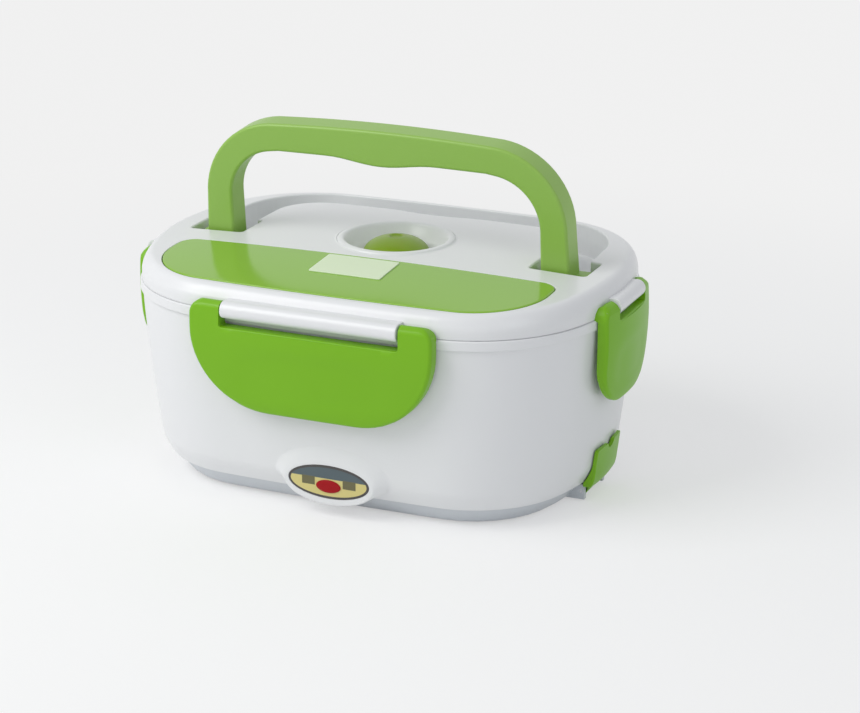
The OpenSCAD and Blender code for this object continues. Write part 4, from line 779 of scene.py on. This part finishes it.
# ---- four latches ----
# Each latch is a hollow D-shaped flap in green plastic. Two ears turn on pins in the ends of the hinge
# bar, and a hook inside snaps under the rail on the shell.

EAR_GAP = 0.8
NOTCH_Z, END_NOTCH_Z = LATCH_Z - 7.7, LATCH_Z - 4.9
LATCH_FOOT_Z, END_FOOT_Z = LATCH_Z - 47.3, LATCH_Z - 45.1
INNER_OUT = COLLAR_OUT + 0.6
LATCH_T, SKIRT_T, SHOULDER_R = 2.6, 2.2, 7
HOOK_H, HOOK_GAP = 3, 0.4
RIM_R, FLAT_D, DISH_DEEP = 1.6, 6, 0.55
FACE_BOW = [(0, 0), (0.14, 0.3), (0.28, 0.5), (0.45, 0.25), (0.62, -0.3), (0.74, -0.75), (0.86, -1.4),
            (1.02, -3)]
GREEN_FLAP = plastic("green_flap", (0.20, 0.48, 0.010), (0.187, 0.455, 0.008), 0.36, 0.08, 0, 0, 0.3)


def flap_line(half, corner_r, ear, foot):
    """Outline of a latch seen from its side of the box, without the notch for the hinge bar."""
    top = LATCH_Z + ear
    right = (arc((half - corner_r, foot + corner_r), corner_r, 270, 360, 18)
             + arc((half - SHOULDER_R, top - SHOULDER_R), SHOULDER_R, 0, 90, 10))
    return right + [(-x, y) for x, y in reversed(right)]


def along_knots(knots, z):
    """Value at z on straight runs between knots."""
    for (z0, f0), (z1, f1) in zip(knots, knots[1:]):
        if z <= z1:
            return f0 + (f1 - f0) * (z - z0) / (z1 - z0)
    return knots[-1][1]


def flap_front(face, ear, out, z):
    """Distance of the latch's face outside the lid's outline at height z."""
    if z > LATCH_Z:
        up = (z - LATCH_Z) / ear
        return out + ear * sqrt(max(0, 1 - up * up)) + (face - out - ear) * max(0, 1 - up) ** 2
    return face + along_knots(FACE_BOW, (LATCH_Z - z) / (LATCH_Z - LATCH_FOOT_Z))


def flap_back(rear, out, z):
    """Distance of the latch's rear edge outside the lid's outline: round behind the hinge, flat below."""
    if z < LATCH_Z - rear:
        return INNER_OUT
    back = out - sqrt(max(0, rear * rear - (z - LATCH_Z) ** 2))
    return back if z > LATCH_Z else min(INNER_OUT, back)


def thumb_dish(x, z, half, low, high):
    """Depth of the shallow dish that is pressed into the lower part of a latch."""
    u, w = x / half, (2 * z - low - high) / (high - low)
    return DISH_DEEP * min(1, max(0, 1.35 - 1.35 * (u ** 4 + w ** 4))) ** 2


def hung_flap(line, hollow, wall, edge, bow, fore, aft, heights, rim, dish=None):
    """A flap drawn flat and laid on the box's bowed side, between its face fore(z) and its rear aft(z)."""
    levels = [(-rim * (1 - sin(radians(k))), rim * (1 - cos(radians(k)))) for k in (0, 15, 32, 50, 70, 90)]
    levels += [(0, FLAT_D - 0.4), (-0.3, FLAT_D)]
    body = solid([[(x, d, z) for x, z in grown(line, g)] for g, d in levels])
    inside = [(-0.7, wall), (-0.2, wall + 0.2), (0, wall + 0.7), (0, FLAT_D + 2)]
    body = worked(body, [solid([[(x, d, z) for x, z in grown(hollow, g)] for g, d in inside])])
    scored(body, range(-60, 61, 4), zs=heights)
    for v in body.verts:
        x, d, z = v.co
        thick = fore(z) - aft(z)
        deep = wall + 0.75
        if thick < deep + 0.5:
            depth = thick * d / FLAT_D
        else:
            depth = d if d <= deep else deep + (thick - deep) * (d - deep) / (FLAT_D - deep)
        if dish and d < 0.01:
            depth += thumb_dish(x, z, *dish)
        v.co.y = bow - edge - sqrt((bow + fore(z) - depth) ** 2 - x * x)
    return body


def bar_notch(half, edge, bow, face, floor_z):
    """Cutter for the notch that clears the hinge bar, a little wider at the latch's face."""
    top_z = LATCH_Z + 12
    line = fillets([(-half, floor_z), (half, floor_z), (half, top_z), (-half, top_z)], 1.2, 4)
    rings = []
    for g, d in [(1.1, -6), (0.5, -0.1), (0.22, 0.12), (0.05, 0.4), (0, 0.9), (0, 20)]:
        reach = bow + face + 0.4 - d
        rings.append([(x, bow - edge - sqrt(reach ** 2 - x * x), z) for x, z in grown(line, g)])
    return solid(rings)


def latch_hook(half, edge, bow, face):
    """The hook inside the flap, which snaps under the rail on the shell."""
    root = face - LATCH_T
    hook_z = RAIL_Z - HOOK_GAP
    section = [(INNER_OUT, hook_z), (INNER_OUT, hook_z - HOOK_H / 2), (root - 0.2, hook_z - HOOK_H),
               (root + 0.4, hook_z)]
    rings = []
    for k in range(13):
        x = half * (k - 6) / 6
        rings.append([(x, bow - edge - sqrt((bow + o) ** 2 - x * x), z) for o, z in section])
    return solid(rings)


def latch_mesh(side, kind):
    turn, edge, bar, out, rise = side
    half, corner_r, bow, ear, rear, proud, foot, floor_z = kind
    face = out + proud
    line = flap_line(half, corner_r, ear, foot)
    hollow_top = NOTCH_Z - SKIRT_T
    hollow = [(x, z) for x, z in grown(line, -SKIRT_T) if z < hollow_top]
    middle = len(hollow) // 2
    if hollow[middle][1] < hollow_top - 1:
        hollow[middle:middle] = [(half - SKIRT_T, hollow_top), (SKIRT_T - half, hollow_top)]
    heights = [foot + 2.8 * k for k in range(1, 17)]
    heights += [LATCH_Z + ear * sin(radians(a)) for a in range(-80, 90, 10)]
    dish = (0.72 * half, foot + 5, NOTCH_Z - 8)
    flap = hung_flap(line, hollow, LATCH_T, edge, bow, lambda z: flap_front(face, ear, out, z),
                     lambda z: flap_back(rear, out, z), heights, RIM_R, dish)
    flap = worked(flap, [bar_notch(bar + EAR_GAP, edge, bow, face, floor_z)])
    return on_its_side(joined(flap, latch_hook(bar - 2, edge, bow, face)), turn)


# half width, lower corner, bow, ear in front, ear behind, how far the face stands out, foot, notch
LONG_KIND = (60, 38, SIDE_BOW_R, 3.6, 3.6, 3.6, LATCH_FOOT_Z, NOTCH_Z)
SHORT_KIND = (29, 20, END_BOW_R, 3.8, 3.0, 4.6, END_FOOT_Z, END_NOTCH_Z)
LATCHES = [("front_latch", "latch_front", LONG_KIND), ("back_latch", "latch_back", LONG_KIND),
           ("right_latch", "latch_right", SHORT_KIND), ("left_latch", "latch_left", SHORT_KIND)]
for side, (node, body, kind) in zip(SIDES, LATCHES):
    latch = moulding(node + "_flap", latch_mesh(side, kind), GREEN_FLAP, 38)
    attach(latch, body)
    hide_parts(node)

# ---- steam plug ----
# A soft olive plug of silicone with a low dome and a small dished button, pressed into the steam hole.

PLUG_H, STEM_H = 9.6, 5.4
OLIVE = plastic("olive_silicone", (0.215, 0.345, 0.006), (0.19, 0.31, 0.005), 0.34, 0.12, 0, 0.1)
seat_z = VENT_FLOOR_Z + 0.2
stem_r, stem_z, button_z = STEAM_R - 0.3, seat_z - STEM_H, seat_z + PLUG_H
plug_line = [(0.8, stem_z), (stem_r - 0.5, stem_z), (stem_r, stem_z + 0.5), (stem_r, seat_z),
             (PLUG_R - 0.8, seat_z), (PLUG_R - 0.2, seat_z + 0.2), (PLUG_R, seat_z + 0.8)]
plug_line += [(PLUG_R * cos(radians(a)), seat_z + 1 + (PLUG_H - 1) * sin(radians(a)))
              for a in range(6, 78, 6)]
plug_line += [(3.5, button_z - 0.08), (3.1, button_z - 0.35), (2.7, button_z - 0.75), (2.2, button_z - 0.85),
              (0.8, button_z - 0.9)]
plug = moulding("steam_plug_dome", turned(plug_line, VENT_Y), OLIVE, 50)
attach(plug, "steam_plug")
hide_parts("vent_plug")

# ---- power inlet and its flap ----
# A green flap over the power socket turns down on a steel pin in the base. It is a thin hollow moulding
# that follows the end wall, with a thumb notch in its upper edge.

FLAP_HALF, FLAP_TOP_Z, FLAP_LOW_Z, FLAP_T, FLAP_RIM = 15.5, 27, 7.6, 1.8, 1.6
FLAP_PIN_X, FLAP_PIN_Z, KNUCKLE_R, KNUCKLE_HALF = 103.4, 5, 2.2, 11.1
THUMB_R, THUMB_Z = 4.5, 28.5
FLAP_FACE = [(4.4, -11.5), (6.6, -9.4), (8.2, -7.4), (10, -6.3), (13, -5.6), (17, -5.1), (22, -4.5),
             (27.5, -3.8)]
INLET_DARK = plastic("inlet_dark", (0.02, 0.021, 0.023), (0.015, 0.016, 0.018), 0.45, 0.2)


def flap_face(z):
    return along_knots(FLAP_FACE, z)


def inlet_flap_mesh():
    """The flap's plate, the short leg below it, and the knuckle round the pin."""
    edge, wall = LID_L / 2, FLAP_T - 0.4
    plate_line = fillets([(-FLAP_HALF, FLAP_LOW_Z), (FLAP_HALF, FLAP_LOW_Z), (FLAP_HALF, FLAP_TOP_Z),
                          (-FLAP_HALF, FLAP_TOP_Z)], 1.8, 5)
    inner, low = FLAP_HALF - FLAP_RIM, FLAP_LOW_Z + FLAP_RIM
    plate_hollow = [(-inner, low), (inner, low), (inner, 15), (-inner, 15)]
    leg_line = [(-KNUCKLE_HALF, FLAP_PIN_Z - 0.6), (KNUCKLE_HALF, FLAP_PIN_Z - 0.6),
                (KNUCKLE_HALF, FLAP_LOW_Z + 3), (-KNUCKLE_HALF, FLAP_LOW_Z + 3)]
    leg_hollow = [(x * 0.5, FLAP_PIN_Z + (1 if z < 10 else 3)) for x, z in leg_line]
    heights = [4.4 + 0.75 * k for k in range(14)] + [15 + 2 * k for k in range(7)]
    plate = hung_flap(plate_line, plate_hollow, wall, edge, END_BOW_R, flap_face,
                      lambda z: 0.3 - shell_in(max(FOOT_Z, z)), heights, 0.7)
    leg = hung_flap(leg_line, leg_hollow, wall, edge, END_BOW_R, lambda z: flap_face(z) - 0.05,
                    lambda z: flap_face(z) - FLAP_T - 0.1, heights, 0.4)
    knuckle = solid([[(x, y - FLAP_PIN_X, FLAP_PIN_Z + z) for y, z in circle(KNUCKLE_R, 32)]
                     for x in (-KNUCKLE_HALF, KNUCKLE_HALF)])
    thumb = solid([[(x, y - edge, THUMB_Z + z) for x, z in circle(THUMB_R, 48)] for y in (-8, 20)])
    return on_its_side(joined(worked(plate, [thumb]), leg, knuckle), 90)


flap = moulding("inlet_flap_green", inlet_flap_mesh(), GREEN_FLAP, 38)
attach(flap, "flap")
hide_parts("inlet_flap")

# ---- indicator plate ----
# An oval plastic plate sits in the boss: a dark rim, a slate upper field, a cream lower field with two bare
# olive squares, and a red lens over the lamp. Nothing is printed on it.

FIELD_IN, FIELD_SPLIT = 1.15, 1.6
LENS_Z = PANEL_Z - 2
LENS_A, LENS_B, LENS_PROUD = 6.2, 3.1, 0.8
MARKS = [(-13.4, -6.9), (7.2, 13.7)]
MARK_Z = (-2.2, 1.9)
PLATE_RIM = plastic("plate_rim", (0.075, 0.068, 0.066), (0.06, 0.055, 0.053), 0.4, 0.1, 0.2)
SLATE = plastic("slate_field", (0.11, 0.145, 0.16), (0.095, 0.125, 0.14), 0.4, 0.1, 0, 0, 0.3)
CREAM = plastic("cream_field", (0.70, 0.62, 0.26), (0.66, 0.57, 0.22), 0.42, 0.1, 0, 0, 0.3)
OLIVE_MARK = plastic("olive_mark", (0.16, 0.15, 0.07), (0.13, 0.12, 0.055), 0.45, 0.1)
RED_LENS = plastic("red_lens", (0.40, 0.005, 0.010), (0.34, 0.004, 0.008), 0.25, 0.05, 0, 0, 0.2)


def oval(a, b, start=0, sweep=360, n=72):
    whole = sweep == 360
    return [(a * cos(radians(start + sweep * i / n)), b * sin(radians(start + sweep * i / n)))
            for i in range(n if whole else n + 1)]


def on_plate(line, levels):
    """A low form on the face plate: levels are (growth, height in front of the plate)."""
    return solid([[(PANEL_X + u, PANEL_Y - h, PANEL_Z + v) for u, v in grown(line, g)] for g, h in levels])


field_a, field_b = PANEL_A - FIELD_IN, PANEL_B - FIELD_IN
cap = degrees(asin(FIELD_SPLIT / field_b))
plate_levels = [(0, -PANEL_T), (0, -0.3), (-0.08, -0.12), (-0.3, 0)]
field_levels = [(0, -0.2), (0, 0.03), (-0.04, 0.05)]
mark_levels = [(0, -0.1), (0, 0.08), (-0.04, 0.1)]
upper_line = oval(field_a, field_b, cap, 180 - 2 * cap)
lower_line = oval(field_a, field_b, 180 - cap, 180 + 2 * cap)
mark_lines = [[(u0, MARK_Z[0]), (u1, MARK_Z[0]), (u1, MARK_Z[1]), (u0, MARK_Z[1])] for u0, u1 in MARKS]
plate = moulding("indicator_plate", on_plate(oval(PANEL_A, PANEL_B), plate_levels), PLATE_RIM)
upper = moulding("plate_slate_field", on_plate(upper_line, field_levels), SLATE)
lower = moulding("plate_cream_field", on_plate(lower_line, field_levels), CREAM)
marks = moulding("plate_squares", joined(*[on_plate(line, mark_levels) for line in mark_lines]), OLIVE_MARK)
for piece in (plate, upper, lower, marks):
    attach(piece, "base")
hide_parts("indicator_panel")
dome = [(1, -1.2), (1, 0.3), (0.975, 0.44), (0.92, 0.56), (0.8, 0.68), (0.6, 0.75), (0.3, LENS_PROUD - 0.01)]
lens_rings = []
for k, h in dome:
    lens_rings.append([(PANEL_X + k * u, PANEL_Y - h, LENS_Z + k * v) for u, v in oval(LENS_A, LENS_B, n=64)])
lens = moulding("indicator_lens_red", solid(lens_rings), RED_LENS, 60)
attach(lens, "base")
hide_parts("indicator_lens")

# ---- base, feet, screws and inlet ----
# The lower tray of the body is a white moulding with a hinge block for the flap, painted a shaded grey for
# the shade it lies in under the shell.
# It stands on four rubber feet and is held by four steel screws; the inlet block is dark plastic with two
# brass pins.


def metal(name, colour, rough, scratch=0.2, stretch=(1, 1, 1)):
    """Bare metal: drawn or turned marks in its gloss and its surface."""
    finish = bpy.data.materials.new(name)
    finish.use_nodes = True
    tree = finish.node_tree
    shader = tree.nodes["Principled BSDF"]
    shader.inputs["Metallic"].default_value = 1
    worn = (*[c * 0.86 for c in colour], 1)
    where = added(tree, "ShaderNodeTexCoord")
    pull = added(tree, "ShaderNodeMapping", {"Scale": stretch})
    marks_in = added(tree, "ShaderNodeTexNoise", {"Scale": 700, "Detail": 3})
    gloss = added(tree, "ShaderNodeMapRange", {"To Min": rough * 0.7, "To Max": rough * 1.35})
    tone = added(tree, "ShaderNodeMix", {"A": (*colour, 1), "B": worn}, data_type="RGBA")
    relief = added(tree, "ShaderNodeBump", {"Strength": scratch, "Distance": 0.00003})
    wire(where, "Object", pull, "Vector")
    wire(pull, "Vector", marks_in, "Vector")
    wire(marks_in, "Fac", gloss, "Value")
    wire(marks_in, "Fac", tone, "Factor")
    wire(marks_in, "Fac", relief, "Height")
    wire(gloss, "Result", shader, "Roughness")
    wire(tone, "Result", shader, "Base Color")
    wire(relief, "Normal", shader, "Normal")
    return finish


def dress(finish, *nodes):
    """Gives CAD solids, which show as they are, their finish."""
    for node in nodes:
        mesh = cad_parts[node].data
        mesh.materials.clear()
        mesh.materials.append(finish)


STEEL = metal("screw_steel", (0.56, 0.57, 0.59), 0.28)
# The base plate's white is painted a shaded grey here: painted shade for the shadow under the shell, not its
# own colour.
dress(plastic("base_white_painted_shade", (0.64, 0.67, 0.70), (0.62, 0.65, 0.685), 0.4, 0.12), "base_plate")
dress(plastic("dark_rubber", (0.03, 0.03, 0.032), (0.022, 0.022, 0.024), 0.75, 0.5), "rubber_feet")
dress(STEEL, "base_screws", "heater_screws", "handle_pins", "latch_pins", "flap_pin")
dress(INLET_DARK, "power_inlet")
dress(metal("contact_brass", (0.78, 0.6, 0.28), 0.3), "inlet_pins")

# ---- under the lid ----
# A white liner snaps into the lid and carries a clear silicone gasket. The green spoon, which lies in the
# bay below its cover, is a thin moulding with a shallow bowl and a flat handle.

WHITE_SATIN = plastic("white_satin", (0.76, 0.77, 0.775), (0.73, 0.745, 0.76), 0.42, 0.12)
dress(WHITE_SATIN, "lid_liner")
dress(plastic("clear_silicone", (0.62, 0.64, 0.63), (0.58, 0.6, 0.6), 0.5, 0.2, 0, 0.3), "lid_gasket")
dress(plastic("green_spoon", (0.285, 0.495, 0.115), (0.26, 0.46, 0.1), 0.36, 0.1, 0.1), "spoon")

# ---- food tray and side box ----
# The white tray hangs by its flange in the body and has one divider. The small box with the green lid
# stands in its right-hand part. All three are moulded plastic.

TRAY_RIM_Z, TRAY_FOOT_Z, TRAY_T, TRAY_CURVE = 86.1, 26.9, 1.6, 6
TRAY_FLANGE_IN, TRAY_TOP_IN, TRAY_FOOT_IN = 3.4, 9.2, 14
DIVIDER = (20, 24)


def tray_in(z):
    """Inset of the tray's outer face from the lid's outline."""
    return TRAY_TOP_IN + (TRAY_FOOT_IN - TRAY_TOP_IN) * ((TRAY_RIM_Z - z) / (TRAY_RIM_Z - TRAY_FOOT_Z)) ** 1.4


def tray_bend(foot_z, grow):
    """The round bend between the tray's floor and its wall."""
    run = TRAY_FOOT_IN + TRAY_CURVE + grow
    wide = run - tray_in(foot_z + TRAY_CURVE) - grow
    return [(run - wide * sin(radians(a)), foot_z + TRAY_CURVE * (1 - cos(radians(a))))
            for a in range(0, 91, 10)]


flange = [(TRAY_TOP_IN + 0.4, TRAY_RIM_Z - 1.9), (TRAY_TOP_IN - 0.2, TRAY_RIM_Z - 1.8),
          (TRAY_FLANGE_IN + 0.3, TRAY_RIM_Z - 1.8), (TRAY_FLANGE_IN, TRAY_RIM_Z - 1.5),
          (TRAY_FLANGE_IN, TRAY_RIM_Z - 0.4), (TRAY_FLANGE_IN + 0.12, TRAY_RIM_Z - 0.12),
          (TRAY_FLANGE_IN + 0.4, TRAY_RIM_Z), (TRAY_TOP_IN + 0.5, TRAY_RIM_Z),
          (TRAY_TOP_IN + 1.1, TRAY_RIM_Z - 0.2), (TRAY_TOP_IN + 1.5, TRAY_RIM_Z - 0.6)]
tray_line = tray_bend(TRAY_FOOT_Z, 0)
tray_line += [(tray_in(z), z) for z in between(TRAY_FOOT_Z + 8, TRAY_RIM_Z - 2.4, 9)] + flange
tray_line += [(tray_in(z) + TRAY_T, z) for z in between(TRAY_RIM_Z - 1.2, TRAY_FOOT_Z + 10, 9)]
tray_line += list(reversed(tray_bend(TRAY_FOOT_Z + TRAY_T, TRAY_T)))
tray_wall = solid([at(outline(t), z) for t, z in tray_line])
divider_rings = []
levels = [(z, t) for t, z in tray_bend(TRAY_FOOT_Z, 0)[2:]]
levels += [(z, tray_in(z)) for z in between(TRAY_FOOT_Z + 10, TRAY_RIM_Z - 2.4, 8) + [TRAY_RIM_Z - 2.0]]
for z, t in levels:
    y = LID_W / 2 - t - 0.9
    thin = 0 if z < TRAY_RIM_Z - 2.2 else 0.5
    x0, x1 = DIVIDER[0] + thin, DIVIDER[1] - thin
    divider_rings.append([(x0, -y, z), (x1, -y, z), (x1, y, z), (x0, y, z)])
tray = moulding("food_tray_white", joined(tray_wall, solid(divider_rings)), WHITE_SATIN)
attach(tray, "tray")
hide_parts("food_tray")
dress(WHITE_SATIN, "side_box")
dress(plastic("green_lid", (0.245, 0.46, 0.045), (0.225, 0.43, 0.04), 0.36, 0.1, 0.1), "side_box_lid")

# ---- heater and its controls ----
# A cast alloy plate lies on a silicone seal over a flat resistance heater, held by a pressed clamp and
# two screws, with a thermostat and a thermal fuse under a strap.

ALLOY = metal("plate_alloy", (0.74, 0.75, 0.76), 0.38, 0.35, (1, 14, 1))
dress(ALLOY, "heating_plate")
dress(metal("heater_alloy", (0.6, 0.61, 0.63), 0.45, 0.3, (8, 1, 1)), "ptc_heater", "heater_clamp")
dress(plastic("seal_rubber", (0.34, 0.35, 0.35), (0.3, 0.31, 0.31), 0.6, 0.3), "plate_seal")
dress(plastic("sensor_dark", (0.05, 0.045, 0.04), (0.04, 0.036, 0.032), 0.4, 0.2), "thermostat")
dress(metal("fuse_metal", (0.66, 0.6, 0.5), 0.3), "thermal_fuse", "fuse_clip")

# ---- wires and lamp ----
# Silicone-covered wires lie in the base: a brown live lead, a brown switched lead in two lengths, a blue
# neutral lead, and a grey pair for the small neon lamp, which stands behind the lens.

dress(plastic("lead_brown", (0.16, 0.06, 0.025), (0.13, 0.05, 0.02), 0.5, 0.2), "live_lead", "switched_lead")
dress(plastic("lead_blue", (0.03, 0.1, 0.36), (0.025, 0.08, 0.31), 0.5, 0.2), "neutral_lead")
dress(plastic("lead_grey", (0.3, 0.3, 0.31), (0.26, 0.26, 0.27), 0.5, 0.2), "lamp_leads")
dress(plastic("lamp_amber", (0.8, 0.35, 0.12), (0.75, 0.3, 0.1), 0.2, 0.05, 0.3), "indicator_lamp")
